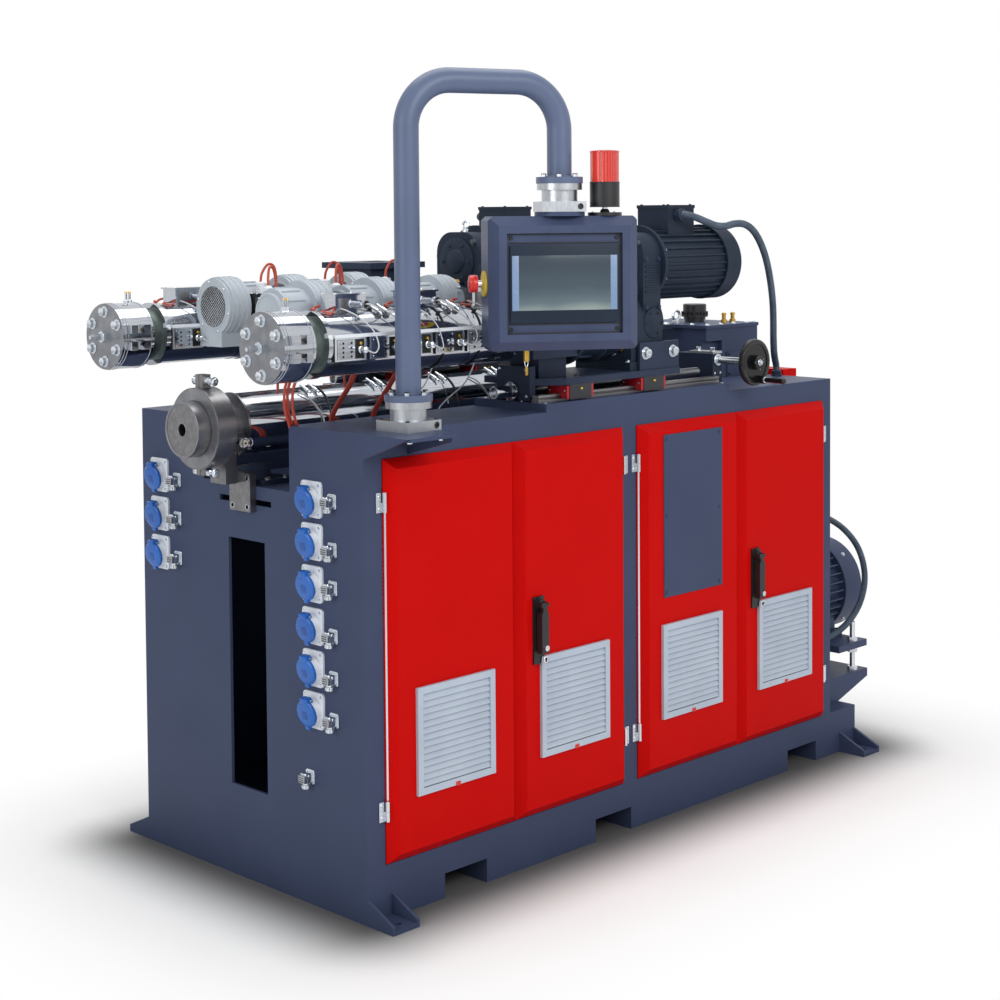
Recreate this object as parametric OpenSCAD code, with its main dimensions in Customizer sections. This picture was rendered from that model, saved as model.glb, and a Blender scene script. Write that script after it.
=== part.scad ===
// Compact co-extruder: cabinet with four doors, one low extruder in the deck
// trough and two small extruders on hand-cranked slides above the deck.
// Every part is drawn from the front lower corner of the door side: x runs to
// the main motor, y to the far side, z up. One step then moves it to the floor
// point between the four anchor holes.

/* [Base frame] */
// Length of the welded base along the machine
base_l = 1924;
// Width of the base and of the cabinet
cab_w = 848;
// Height of the base up to the top of its floor sheet
base_h = 125;
// Width of the base rails and cross members
rail_w = 60;
// Wall of the pressed base channels
rail_t = 6; // [5:0.5:8]
// Front end of each cross member but the rearmost, which closes the base
cross_x = [8, 560, 1200];
// Front end of the first two fork pockets
pocket_x = [239, 766];
// Distance from the rear end of the base to the front of the last pocket
pocket_rear = 337;
// Clear width of a fork pocket
pocket_w = 138; // [130:2:146]
// Clear height of a fork pocket
pocket_h = 58; // [52:1:62]
// Length of a foot plate along the machine
foot_l = 80;
// How far a foot plate stands out sideways
foot_out = 85;
// Thickness of a foot plate
foot_t = 10; // [8:0.5:12]
// Radius of an anchor hole
anchor_r = 9; // [7:0.5:11]
// Anchor hole distance from the side of the base
anchor_out = 54;
// Height of the foot gussets at the side of the base
gusset_h = 57; // [50:1:62]
// Thickness of the foot gussets
gusset_t = 8; // [6:0.5:10]
// Height of a gusset at its outer tip above the foot plate
gusset_tip = 8;

/* [Cabinet] */
// Length of the cabinet
cab_l = 1796;
// Top of the deck above the floor
deck_z = 1107;
// Thickness of deck, trough and wall sheets
sheet = 6;
// Thickness of the front end plate
end_t = 8;
// Depth of the door posts
post_d = 50;
// Front side of the first two door posts; the third closes the cabinet
post_x = [8, 870];
// Width of each door post
post_w = [47, 58, 48];
// Wall of the square tubes
tube_t = 4; // [3:0.5:5]
// Underside of the header over the doors
header_z = 1046.5;
// Near edge of the open trough
trough_y = 259;
// Upper side of the trough floor
trough_z = 953;
// Rear end of the trough
trough_end = 1540;
// Lower side of the gearbox bearers
bearer_z = 780;
// Depth of the gearbox bearers
bearer_h = 50;
// Front side of each cross bearer
bearer_x = [1590, 1730];
// Overlap of a fixed far panel on its posts
panel_lap = 15; // [10:1:20]
// Thickness of the fixed far panels
panel_t = 3; // [2:0.5:5]
// Radius of a panel bolt head
panel_bolt_r = 7; // [5:0.5:9]
// Height of a panel bolt head
panel_bolt_h = 5; // [4:0.5:8]
// Spacing of the panel bolts, up and along
panel_bolt_gap = [420, 252];
// Lower end of the opening in the rear wall
notch_z = 824;
// Tall front slot, near edge from the middle and lower edge
slot_at = [-70, 221];
// Tall front slot, width and height
slot_size = [140, 601];
// Narrow front slot, near edge from the middle and lower edge
slit_at = [-96, 908];
// Narrow front slot, width and height
slit_size = [198, 14];
// Thickness of the mounting plate for the controls
panel_plate_t = 3; // [2:0.5:5]

/* [Doors] */
// Hinge or free edge of each door nearest the front
door_x = [55.4, 470, 928.4, 1341.1];
// Width of each door
door_w = [413.1, 400.2, 411.2, 407.2];
// Lower edge of the doors
door_z = 127.4;
// Upper edge of the doors
door_top = 1046.5;
// How far the door face stands off the posts
door_d = 25;
// Gap between a door and the posts
door_gap = 0.5;
// Width of the bevel round each door
bevel = 22;
// Thickness of the door sheet
door_t = 2.5; // [2:0.25:3]
// Front edge of each grille
grille_x = [129, 538, 998, 1411];
// Lower edge of the grilles
grille_z = 272;
// Side of the square grilles
grille_w = 248;
// How far a grille stands off its door
grille_h = 8; // [6:0.5:10]
// Width of the grille rim
grille_rim = 16; // [14:1:20]
// Number of grille blades
blades = 14; // [10:1:15]
// Radius of a hinge knuckle
knuckle_r = 5;
// Radius of a hinge pin
pin_r = 2.5; // [2:0.25:3]
// Height of a whole hinge
hinge_h = 45;
// Middle height of the two hinges of a door
hinge_z = [250, 950];
// Front edge of the handle plates on the second and fourth door
handle_x = [513, 1381];
// Width and height of a handle plate
handle_size = [36, 164];
// Lower edge of the handle plates
handle_z = 504;

/* [Sockets on the end plate] */
// Middle of the right socket column, and of the left one from the far side
socket_y = [176, 77];
// Number of sockets in each column
socket_n = [6, 3];
// Height of the top socket
socket_z = 945.5;
// Spacing of the sockets
socket_pitch = 97.3;
// Width and height of a socket flange
socket_size = [72, 84];
// Radius of a socket collar
socket_r = 29; // [26:0.5:31]
// Downward tilt of the socket lids
socket_tilt = 10; // [0:1:14]
// Middle of each cable connector, across and up
connectors = [[105, 947], [105, 837], [105, 750], [105, 640], [105, 543],
    [105, 447], [193, 300]];
// Middle of each connector of the left column, from the far side and up
far_connectors = [[150, 939], [150, 843], [150, 744]];

/* [Operator arm] */
// Centre of the arm column
arm_at = [125, -15];
// Reach of the arm
arm_reach = 393; // [360:1:420]
// Turn of the arm away from the machine axis
arm_turn = -17.8; // [-24:0.2:-12]
// Height of the arm middle line
arm_z = 1895; // [1880:5:1910]
// Outer radius of the arm tube
arm_r = 29; // [27:0.5:31]
// Bend radius of the arm tube
arm_bend = 110; // [96:1:120]
// Wall of the arm tube
arm_wall = 4; // [3:0.5:5]
// Turn of the operator panel
hmi_turn = -34; // [-40:1:-28]
// Width and height of the operator panel housing
hmi_size = [356, 312];
// Depth of the housing before and behind its swivel
hmi_d = [55, 60];
// Lower edge of the operator panel
hmi_z = 1274;
// Width and height of the screen recess
recess_size = [275, 233];
// Depth of the screen recess
recess_d = 12; // [10:1:16]
// Radius of the stop button head
estop_r = 20; // [17:0.5:22]
// Radius of the signal lamp
lamp_r = 35; // [30:0.5:36]

/* [Low extruder] */
// Height of the low extruder axis
main_z = 1100;
// Radius of the die nose
nose_r = 65; // [60:0.5:65]
// Radius of the die bore
die_r = 14.5; // [10:0.5:18]
// Front face of the die nose
nose_x = -180; // [-190:1:-170]
// Radius of the flange inside the clamp
flange_r = 80;
// Outer radius of the clamp
clamp_r = 95; // [92:0.5:98]
// Front and rear side of the clamp
clamp_x = [-145, -94];
// Outer radius of the low barrel
main_r = 55;
// Radius of the low barrel bore
main_bore_r = 30;
// Outer radius of the low shroud
main_shroud_r = 74;
// Front and rear end of the low shroud
main_shroud_x = [-40, 876];
// Front and rear side of the feed block
feed_x = [1380, 1520];

/* [Main drive] */
// Front and rear side of the main gearbox
gear_x = [1566, 1812];
// Near and far side of the main gearbox, from the middle of the machine
gear_y = [-150, 150];
// Lower and upper side of the main gearbox
gear_z = [830, 1261];
// Height of the gearbox input shaft
input_z = 916;
// Centre of the main motor, across from the middle of the machine and up
motor_at = [-162, 431];
// Radius of the main motor cowl
motor_r = 141; // [130:1:143]
// Front and rear end of the main motor
motor_x = [1884, 2141];
// Radius of the large belt pulley
big_pulley_r = 186; // [170:1:188]
// Radius of the small belt pulley
small_pulley_r = 68; // [60:1:72]
// Front and rear side of the belt guard
guard_x = [1814, 1880];

/* [Small extruders] */
// Distance of each small extruder axis from its side of the cabinet
unit_in = 119;
// Height of the small extruder axes
unit_z = 1303;
// Radius of the die heads
head_r = 80; // [74:0.5:82]
// Front and rear face of the die heads
head_x = [-184, -96];
// Radius of the bolt circle on the die heads
head_bolt_pcr = 60; // [54:1:64]
// Outer radius of the small barrels
unit_r = 42;
// Radius of the small barrel bores
unit_bore_r = 20;
// Outer radius of the polished shrouds
shroud_r = 74;
// Front and rear end of the shrouds
shroud_x = [-57, 560];
// Length of a louvre cell
cell_pitch = 102;
// Radius of the blower housings
blower_r = 72; // [68:0.5:73]
// Distance of the blower axis from the barrel axis
blower_off = 133;
// Height of the blower axes
blower_z = 1370;
// Spacing of the blowers
blower_pitch = 205;
// Side of the square feed flange
throat_w = 200; // [180:2:204]
// Height of the feed flange top
throat_z = 1463;
// Hole spacing of the feed flange
throat_pitch = 160;
// Height of the small motor axes
small_motor_z = 1456;
// Radius of the small motor cowls
small_motor_r = 102; // [96:1:104]

/* [Slides] */
// Front and rear end of the platforms
platform_x = [594, 1319];
// Width of a platform
platform_w = 250;
// Thickness of a platform
platform_t = 20; // [18:0.5:20]
// Distance of each rail from the unit axis
rail_off = 75;
// Width of a guide rail
guide_w = 23; // [20:0.5:24]
// Front end of each pair of guide blocks
block_x = [680, 963];
// Length of a guide block with its end caps
block_l = 98; // [90:1:104]
// Upper side of the guide blocks
block_top = 1167;
// Thickness of the carriage plate
carriage_t = 17;
// Height of the lead screw
lead_z = 1152;
// Radius of the lead screw
lead_r = 12; // [10:0.5:13]
// Position of the handwheel shaft along and up
crank_at = [1346, 1186];
// Radius of the handwheel
wheel_r = 62; // [54:1:64]

/* [Hidden] */
$fn = 64;
cut = 1;
run_gap = 0.05;
rest_gap = 0.3;
half = 0.5;
main_y = cab_w * half;
unit_y = [unit_in, cab_w - unit_in];
cross_at = concat(cross_x, [base_l - rail_w]);
pocket_at = concat(pocket_x, [base_l - pocket_rear]);
post_at = concat(post_x, [cab_l - post_w[2]]);
socket_at = [socket_y[0], cab_w - socket_y[1]];
connector_at = concat(connectors, [for (p = far_connectors) [cab_w - p[0], p[1]]]);
gear_side = [for (y = gear_y) main_y + y];
motor_mid = [main_y + motor_at[0], motor_at[1]];
deck_bot = deck_z - sheet;
hex_sides = 6;
conduit_sides = 10;
bevel_share = 0.414;
right_hung = [false, true, false, true];
unit_side = [1, -1];
socket_back_r = 24;
hinge_y = -10;
hinge_off = 1;
tab_turn = 45;
spindle_r = 13;
handle_h = 10;
spindle_face = -door_d - handle_h - 6;
ear_t = 5;
lever_axis_y = spindle_face - ear_t - 1;
block_w = 104;
arm_block_h = 24;
neck_r = 42;
collar_r = 53;
flange_t = 15;
flange_step = 2;
spigot_r = 25;
slit_half = 1;
ped_neck_z = deck_z + arm_block_h;
ped_ring_z = 1158;
ped_top = ped_ring_z + flange_t;
hmi_pad = 10;
hmi_neck_h = 66;
hmi_top = hmi_z + hmi_size[1];
arm_low_z = hmi_top + hmi_pad + hmi_neck_h;
drop_at = [arm_at[0] + arm_reach * cos(arm_turn), arm_at[1] + arm_reach * sin(arm_turn)];
stop_at = [6, 1430];
stop_ring_l = 5;
plunger_r = 8;
recess_z = hmi_z + (hmi_size[1] - recess_size[1]) * half;
nose_end = -141;
flange_end = -98;
throat_r = 30;
feed_seat_r = 34;
feed_seat_l = 40;
screw_clear = 0.05;
tail_r = 25;
input_r = 20;
motor_shaft_r = 19;
gear_pair_x = [1622, 1660];
pulley_rim_x = [1828, 1866];
guard_side = [-244, -79, 241];
guard_edge = [for (y = guard_side) main_y + y];
guard_zs = [330, 760, 1122];
belt_x = [1832, 1862];
feed_house_x = [600, 770];
post_mid = 680;
lantern_x = [870, 925, 945];
cell_n = 6;
louvre_y = -74;
louvre_lip = 4;
louvre_z = [-35, 16];
gearmotor_x = [945, 1070];
motor_face = 1082;
cowl_at = [1340, 1397];
unit_tail_r = 15;
crank_r = 10;
rail_top = 1145;
conduit_r = 10;
conduit_ref = [1, 1, 1];
unit_conduit_path = [[1177, -69.3, 1586], [1177, -84, 1586], [1196, -101, 1579],
    [1235, -108, 1566], [1275, -108, 1556], [1320, -106, 1554], [1365, -104, 1560],
    [1410, -102, 1558], [1455, -98, 1540], [1500, -90, 1504], [1540, -80, 1456],
    [1575, -68, 1396], [1605, -54, 1336], [1630, -38, 1280], [1655, -20, 1230],
    [1690, 4, 1188], [1730, 30, 1162], [1760, 48, 1143], [1770, 53, 1124],
    [1770, 53, 1107.3]];
main_conduit_path = [[1960, 262, 621.3], [1960, 262, 645], [1960, 246, 664],
    [1966, 200, 676], [1982, 150, 664], [2008, 102, 632], [2032, 68, 582],
    [2044, 50, 522], [2040, 44, 460], [2012, 46, 400], [1964, 56, 352],
    [1904, 70, 324], [1840, 82, 312], [1796.3, 82, 312]];
slate = [0.29, 0.34, 0.44];
red = [0.78, 0.1, 0.08];
steel = [0.75, 0.76, 0.78];
alu = [0.82, 0.83, 0.85];
dark = [0.1, 0.1, 0.11];
brass = [0.8, 0.65, 0.3];
white = [0.9, 0.91, 0.93];

// Placing and plain shapes
module in_frame() {
  translate([-base_l * half, -main_y, 0]) children();
}

module span(lo, hi) {
  translate(lo) cube(hi - lo);
}

module rod_x(lo, hi, r) {
  translate([lo, 0, 0]) rotate([0, 90, 0]) cylinder(h = hi - lo, r = r);
}

module rod_y(lo, hi, r) {
  translate([0, lo, 0]) rotate([-90, 0, 0]) cylinder(h = hi - lo, r = r);
}

module rod_z(lo, hi, r) {
  translate([0, 0, lo]) cylinder(h = hi - lo, r = r);
}

// A hexagon head on a face that looks along the negative x axis
module hex_x(x, h, r) {
  translate([x - h, 0, 0]) rotate([0, 90, 0]) cylinder(h = h, r = r, $fn = hex_sides);
}

// Flat shape drawn across the machine and pushed along it
module along_x(lo, hi) {
  translate([lo, 0, 0]) rotate([90, 0, 90]) linear_extrude(hi - lo) children();
}

// Flat shape drawn along the machine and pushed across it
module along_y(lo, hi) {
  translate([0, hi, 0]) rotate([90, 0, 0]) linear_extrude(hi - lo) children();
}

module tube_box(lo, hi, wall) {
  difference() {
    span(lo, hi);
    span(lo + wall, hi - wall);
  }
}

module mirror_across() {
  children();
  translate([0, cab_w, 0]) mirror([0, 1, 0]) children();
}

// Base
module foot(x, gussets) {
  color(slate) {
    difference() {
      span([x, -foot_out, 0], [x + foot_l, 0, foot_t]);
      translate([x + foot_l * half, -anchor_out, 0]) rod_z(-cut, foot_t + cut, anchor_r);
    }
    for (g = gussets) along_x(g, g + gusset_t)
      polygon([[0, foot_t], [-foot_out, foot_t],
          [-foot_out, foot_t + gusset_tip], [0, gusset_h]]);
  }
}

module rail() {
  difference() {
    span([end_t, 0, 0], [base_l, rail_w, base_h - rail_t]);
    span([end_t + rail_t, rail_t, rail_t],
        [base_l - rail_t, rail_w + cut, base_h - 2 * rail_t]);
  }
}

module fork_tunnel(x, grow, over) {
  span([x - grow, -over, -over], [x + pocket_w + grow, cab_w + over, pocket_h + grow]);
}

module base_frame() {
  color(slate) difference() {
    union() {
      mirror_across() rail();
      for (x = cross_at) tube_box([x, rail_w - rail_t, 0],
          [x + rail_w, cab_w - rail_w + rail_t, base_h - rail_t], rail_t);
      span([end_t, 0, base_h - rail_t], [base_l, cab_w, base_h]);
      for (x = pocket_at) fork_tunnel(x, rail_t, 0);
      mirror_across() foot(0, [foot_l - gusset_t]);
      mirror_across() foot(base_l - foot_l, [base_l - foot_l, base_l - gusset_t]);
    }
    for (x = pocket_at) fork_tunnel(x, 0, cut);
  }
}

module end_plate() {
  wing_out = 147;
  wing_drop = 1050;
  inner = cab_w - trough_y;
  color(slate) difference() {
    along_x(0, end_t) polygon([[-foot_out, foot_t], [-foot_out, foot_t + gusset_tip],
        [0, gusset_h], [0, wing_drop], [-wing_out, deck_z], [trough_y, deck_z],
        [trough_y, trough_z], [inner, trough_z], [inner, deck_z], [cab_w, deck_z],
        [cab_w, gusset_h], [cab_w + foot_out, foot_t + gusset_tip],
        [cab_w + foot_out, foot_t], [cab_w, foot_t], [cab_w, 0], [0, 0], [0, foot_t]]);
    translate([0, main_y, 0]) {
      span([-cut, slot_at[0], slot_at[1]],
          [end_t + cut, slot_at[0] + slot_size[0], slot_at[1] + slot_size[1]]);
      span([-cut, slit_at[0], slit_at[1]],
          [end_t + cut, slit_at[0] + slit_size[0], slit_at[1] + slit_size[1]]);
    }
    for (c = [0, 1], i = [0 : socket_n[c] - 1])
      translate([0, socket_at[c], socket_z - socket_pitch * i])
        rod_x(-cut, end_t + cut, socket_back_r + rest_gap);
  }
}

// Cabinet
module post(i, side_y) {
  span([post_at[i], side_y, base_h], [post_at[i] + post_w[i], side_y + post_d, deck_bot]);
}

module header(side_y) {
  span([end_t, side_y, header_z], [cab_l, side_y + post_d, deck_bot]);
}

module post_core(i, side_y) {
  span([post_at[i] + tube_t, side_y + tube_t, base_h - cut],
      [post_at[i] + post_w[i] - tube_t, side_y + post_d - tube_t, deck_bot - tube_t]);
}

module door_wall(side_y) {
  difference() {
    union() {
      for (i = [0 : 2]) post(i, side_y);
      header(side_y);
    }
    for (i = [0 : 2]) post_core(i, side_y);
    span([end_t + tube_t, side_y + tube_t, header_z + tube_t],
        [cab_l - tube_t, side_y + post_d - tube_t, deck_bot - tube_t]);
  }
}

module far_panel(i) {
  lo = post_at[i] + post_w[i] - panel_lap;
  hi = post_at[i + 1] + panel_lap;
  z0 = base_h + panel_lap;
  z1 = header_z + panel_lap;
  mid = (hi - lo) * half;
  span([lo, cab_w, z0], [hi, cab_w + panel_t, z1]);
  for (x = [lo + panel_lap * half, hi - panel_lap * half], k = [0 : 2])
    translate([x, 0, z0 + panel_lap + panel_bolt_gap[0] * k])
      rod_y(cab_w + panel_t, cab_w + panel_t + panel_bolt_h, panel_bolt_r);
  for (k = [-1 : 1]) translate([lo + mid + panel_bolt_gap[1] * k, 0, z1 - panel_lap * half])
    rod_y(cab_w + panel_t, cab_w + panel_t + panel_bolt_h, panel_bolt_r);
}

module rear_wall() {
  inner = cab_w - trough_y;
  difference() {
    span([cab_l - sheet, post_d, base_h], [cab_l, cab_w - post_d, deck_bot]);
    span([cab_l - sheet - cut, trough_y, notch_z], [cab_l + cut, inner, deck_bot + cut]);
  }
}

module bearers() {
  beam_w = 30;
  cross_w = 50;
  top = bearer_z + bearer_h;
  for (y = [post_d, cab_w - post_d - beam_w])
    span([post_at[1], y, bearer_z], [cab_l - sheet, y + beam_w, top]);
  for (x = bearer_x) tube_box([x, post_d + beam_w, bearer_z],
      [x + cross_w, cab_w - post_d - beam_w, top], tube_t);
}

module cabinet_frame() {
  tie_h = 40;
  tie_y = trough_y - sheet;
  color(slate) {
    door_wall(0);
    door_wall(cab_w - post_d);
    for (i = [0, 1]) far_panel(i);
    rear_wall();
    bearers();
    mirror_across() tube_box([post_at[1], post_d, deck_bot - tie_h],
        [post_at[1] + post_w[1], tie_y, deck_bot], tube_t);
  }
}

// Mounting plate behind the two front doors with its drives and contactors
module control_panel() {
  x0 = 96;
  x1 = 836;
  face = 418;
  leg = 40;
  z0 = 178;
  z1 = 896;
  drive = [118, 96, 240];
  drive_gap = 130;
  drive_z = 620;
  row_z = [470, 330];
  block = [42, 62, 84];
  block_gap = 49;
  rail_h = 35;
  rail_d = 8;
  duct = [40, 50];
  duct_z = [550, 404, 232];
  color(alu) {
    span([x0, face, z0], [x1, face + panel_plate_t, z1]);
    for (x = [x0, x1 - leg]) span([x, face + panel_plate_t, base_h],
        [x + leg, face + panel_plate_t + leg, z1]);
    for (z = row_z) span([x0 + leg, face - rail_d, z], [x1 - leg, face, z + rail_h]);
    for (z = duct_z) span([x0 + leg, face - duct[1], z], [x1 - leg, face, z + duct[0]]);
    for (i = [0 : 4]) translate([x0 + leg + drive_gap * i, face - drive[1], drive_z])
      cube(drive);
    for (z = row_z, i = [0 : 12])
      translate([x0 + leg + block_gap * i, face - rail_d - block[1],
          z + (rail_h - block[2]) * half]) cube(block);
  }
}

module deck_trough() {
  inner = cab_w - trough_y;
  color(slate) {
    mirror_across() {
      span([end_t, 0, deck_bot], [cab_l, trough_y, deck_z]);
      span([end_t, trough_y - sheet, trough_z - sheet], [trough_end, trough_y, deck_z]);
    }
    span([end_t, trough_y - sheet, trough_z - sheet],
        [trough_end, inner + sheet, trough_z]);
  }
}

// Doors
module bevel_prism(x, w, z0, z1, t) {
  y0 = -door_gap;
  y1 = -door_d + t;
  k = bevel - t * bevel_share;
  intersection() {
    translate([0, 0, z0]) linear_extrude(z1 - z0)
      polygon([[x, y0], [x, y1 + k], [x + k, y1], [x + w - k, y1],
          [x + w, y1 + k], [x + w, y0]]);
    along_x(x - cut, x + w + cut)
      polygon([[y0, z0], [y1 + k, z0], [y1, z0 + k], [y1, z1 - k],
          [y1 + k, z1], [y0, z1]]);
  }
}

function hinge_x(i) = right_hung[i] ? door_x[i] + door_w[i] + hinge_off
    : door_x[i] - hinge_off;

module door(i) {
  x = door_x[i];
  w = door_w[i];
  side = right_hung[i] ? -1 : 1;
  tab = 9;
  tab_t = 4;
  tab_in = pin_r + cut;
  color(red) {
    difference() {
      bevel_prism(x, w, door_z, door_top, 0);
      translate([door_t, 0, door_t])
        bevel_prism(x, w - 2 * door_t, door_z, door_top - 2 * door_t, door_t);
      span([x + door_t, -door_gap - door_t, door_z + door_t],
          [x + w - door_t, cut, door_top - door_t]);
      span([grille_x[i] + grille_rim, -door_d - cut, grille_z + grille_rim],
          [grille_x[i] + grille_w - grille_rim, 0, grille_z + grille_w - grille_rim]);
    }
    for (z = hinge_z) difference() {
      union() {
        translate([hinge_x(i), hinge_y, 0]) rod_z(z, z + hinge_h * half, knuckle_r);
        translate([hinge_x(i), hinge_y, z]) rotate([0, 0, side * tab_turn])
          span([min(side * tab_in, side * tab), -tab_t * half, cut],
              [max(side * tab_in, side * tab), tab_t * half, hinge_h * half - cut]);
      }
      translate([hinge_x(i), hinge_y, 0])
        rod_z(z - cut, z + hinge_h * half + cut, pin_r + run_gap);
    }
  }
}

module grille(i) {
  x = grille_x[i];
  y1 = -door_d;
  y0 = y1 - grille_h;
  slat = 2;
  inset = grille_rim + slat;
  gap = (grille_w - 2 * inset) / blades;
  difference() {
    span([x, y0, grille_z], [x + grille_w, y1, grille_z + grille_w]);
    span([x + grille_rim, y0 - cut, grille_z + grille_rim],
        [x + grille_w - grille_rim, y1 + cut, grille_z + grille_w - grille_rim]);
  }
  for (k = [0 : blades - 1]) translate([x + grille_rim, 0, grille_z + inset + gap * k])
    along_x(0, grille_w - 2 * grille_rim)
      polygon([[y1, gap - slat], [y1, gap], [y0 + slat, slat], [y0 + slat, 0]]);
}

module handle_plate(i) {
  x = handle_x[i];
  boss_t = 4;
  plate_t = handle_h * half;
  difference() {
    union() {
      span([x, -door_d - plate_t, handle_z],
          [x + handle_size[0], -door_d, handle_z + handle_size[1]]);
      translate([x + handle_size[0] * half, 0, spindle_z()])
        rod_y(-door_d - handle_h, -door_d, spindle_r + boss_t);
    }
    translate([x + handle_size[0] * half, 0, spindle_z()])
      rod_y(-door_d - handle_h - cut, -door_d + cut, spindle_r + run_gap);
  }
}

module blank_plate() {
  lo = [1008, -door_d - door_t, 590];
  hi = [1252, -door_d, 1016];
  screw_in = 12;
  screw_r = 4;
  screw_h = 2;
  span(lo, hi);
  for (x = [lo[0] + screw_in, hi[0] - screw_in],
      z = [lo[2] + screw_in, (lo[2] + hi[2]) * half, hi[2] - screw_in])
    translate([x, 0, z]) rod_y(lo[1] - screw_h, lo[1], screw_r);
}

module door_fittings(i) {
  color(white) grille(i);
  if (right_hung[i]) color(dark) handle_plate((i - 1) / 2);
  if (i == 2) color(slate) blank_plate();
}

// Swing handles: the spindle turns in the plate, the lever tips out of it
function spindle_z() = handle_z + handle_size[1] - handle_size[0] * half;

module spindle(k) {
  translate([handle_x[k] + handle_size[0] * half, 0, spindle_z()]) color(dark) {
    rod_y(spindle_face, -door_d, spindle_r);
    difference() {
      for (s = [-1, 1]) translate([s * (spindle_r - ear_t * half), 0, 0])
        span([-ear_t * half, lever_axis_y - ear_t, -ear_t],
            [ear_t * half, spindle_face, ear_t]);
      translate([0, lever_axis_y, 0]) rod_x(-spindle_r - cut, spindle_r + cut, pin_r + run_gap);
    }
  }
}

module lever(k) {
  w = 2 * (spindle_r - ear_t) - 2 * rest_gap;
  lever_l = 118;
  lever_t = 12;
  lock_r = 7;
  lock_h = 6;
  back = -door_d - handle_h - 2 * rest_gap;
  front = lever_axis_y - ear_t;
  translate([handle_x[k] + handle_size[0] * half, 0, spindle_z()]) color(dark) {
    translate([0, lever_axis_y, 0]) {
      rod_x(-spindle_r, spindle_r, pin_r);
      rod_x(-w * half, w * half, ear_t);
    }
    span([-lever_t, front, -lever_l], [lever_t, back, -spindle_r - ear_t]);
    span([-w * half, front, -spindle_r - ear_t - cut], [w * half, spindle_face - rest_gap, 0]);
    translate([0, 0, -lever_l + 2 * lock_r]) rod_y(front - lock_h, front, lock_r);
  }
}

// Hinges
module hinges() {
  leaf_w = 20;
  leaf_t = 4;
  color(steel) for (i = [0 : 3], z = hinge_z) {
    s = right_hung[i] ? 1 : -1;
    x = hinge_x(i);
    z0 = z - hinge_h * half;
    translate([x, hinge_y, 0]) {
      rod_z(z0, z - rest_gap, knuckle_r);
      span([min(0, s * knuckle_r), 0, z0], [max(0, s * knuckle_r), -hinge_y, z - rest_gap]);
      rod_z(z0 + cut, z + hinge_h * half, pin_r);
    }
    span([min(x + s * knuckle_r, x + s * leaf_w), -leaf_t, z0],
        [max(x + s * knuckle_r, x + s * leaf_w), 0, z0 + hinge_h]);
  }
}

// Sockets
module socket(y, z) {
  plate_t = 6;
  back_l = 30;
  collar_l = 34;
  lid_t = 9;
  lid_lip = 4;
  lid_r = socket_r + lid_lip;
  lid_w = 18;
  translate([0, y, z]) {
    difference() {
      span([-plate_t, -socket_size[0] * half, -socket_size[1] * half],
          [0, socket_size[0] * half, socket_size[1] * half]);
      for (s = [-1, 1], t = [-1, 1])
        translate([0, s * (socket_size[0] * half - plate_t),
            t * (socket_size[1] * half - plate_t)])
          rod_x(-plate_t - cut, cut, pin_r);
    }
    rod_x(0, back_l, socket_back_r);
    difference() {
      rotate([0, -socket_tilt, 0]) {
        rod_x(-collar_l, 0, socket_r);
        rod_x(-collar_l - lid_t, -collar_l, lid_r);
        span([-collar_l - lid_t, -lid_w * half, lid_r - plate_t],
            [-collar_l + lid_t, lid_w * half, lid_r + plate_t]);
      }
      span([-plate_t * half, -socket_size[0], -socket_size[1]],
          [back_l, socket_size[0], socket_size[1]]);
    }
  }
}

module connector(p) {
  base = [4, 30, 30];
  body_r = 11;
  body_l = 30;
  elbow_r = 9;
  nut_r = 10.5;
  nut_l = 12;
  drop = 18;
  translate([0, p[0], p[1]]) {
    span([-base[0], -base[1] * half, -base[2] * half], [0, base[1] * half, base[2] * half]);
    span([-body_l, -body_r, -body_r], [-base[0], body_r, body_r]);
    translate([-body_l * half, 0, 0]) {
      rod_z(-body_r - drop, -body_r, elbow_r);
      rod_z(-body_r - drop - nut_l, -body_r - drop, nut_r);
    }
  }
}

module wall_sockets() {
  color(white) for (c = [0, 1], i = [0 : socket_n[c] - 1])
    socket(socket_at[c], socket_z - socket_pitch * i);
  color(steel) for (p = connector_at) connector(p);
}

// Operator arm
module swivel_block(z0, neck0, ring0, top) {
  bolt_r = 7;
  bolt_at = 38;
  difference() {
    union() {
      span([-block_w * half, -block_w * half, z0], [block_w * half, block_w * half, neck0]);
      rod_z(neck0, ring0, neck_r);
      rod_z(ring0, top, collar_r);
    }
    rod_z(z0 - cut, top + cut, spigot_r + run_gap);
    translate([bolt_at, 0, (z0 + neck0) * half]) rod_y(-block_w, 0, bolt_r);
    span([0, -slit_half, z0 - cut], [block_w, slit_half, neck0 - slit_half]);
  }
}

module arm_pedestal() {
  plate_y = -147;
  plate_x = [142, 212];
  plate_t = 8;
  rib_z = [1090, 1050];
  color(slate) {
    translate([0, 0, deck_z - plate_t]) linear_extrude(plate_t)
      polygon([[end_t, plate_y], [plate_x[0], plate_y], [plate_x[1], 0], [end_t, 0]]);
    along_x(plate_x[0] - plate_t, plate_x[0]) polygon([[0, deck_z - plate_t],
        [plate_y, deck_z - plate_t], [plate_y, rib_z[0]], [0, rib_z[1]]]);
  }
  color(alu) translate([arm_at[0], arm_at[1], 0])
    swivel_block(deck_z, ped_neck_z, ped_ring_z, ped_top);
}

module bend_tube(r) {
  rotate([90, 0, 0]) rotate_extrude(angle = 90) translate([arm_bend, 0, 0]) circle(r);
}

module arm_path(r, z0, z1) {
  top = arm_z - arm_bend;
  rod_z(z0, top, r);
  translate([arm_bend, 0, top]) rotate([0, 0, 180]) bend_tube(r);
  translate([0, 0, arm_z]) rod_x(arm_bend, arm_reach - arm_bend, r);
  translate([arm_reach - arm_bend, 0, top]) bend_tube(r);
  translate([arm_reach, 0, 0]) rod_z(z1, top, r);
}

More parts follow.
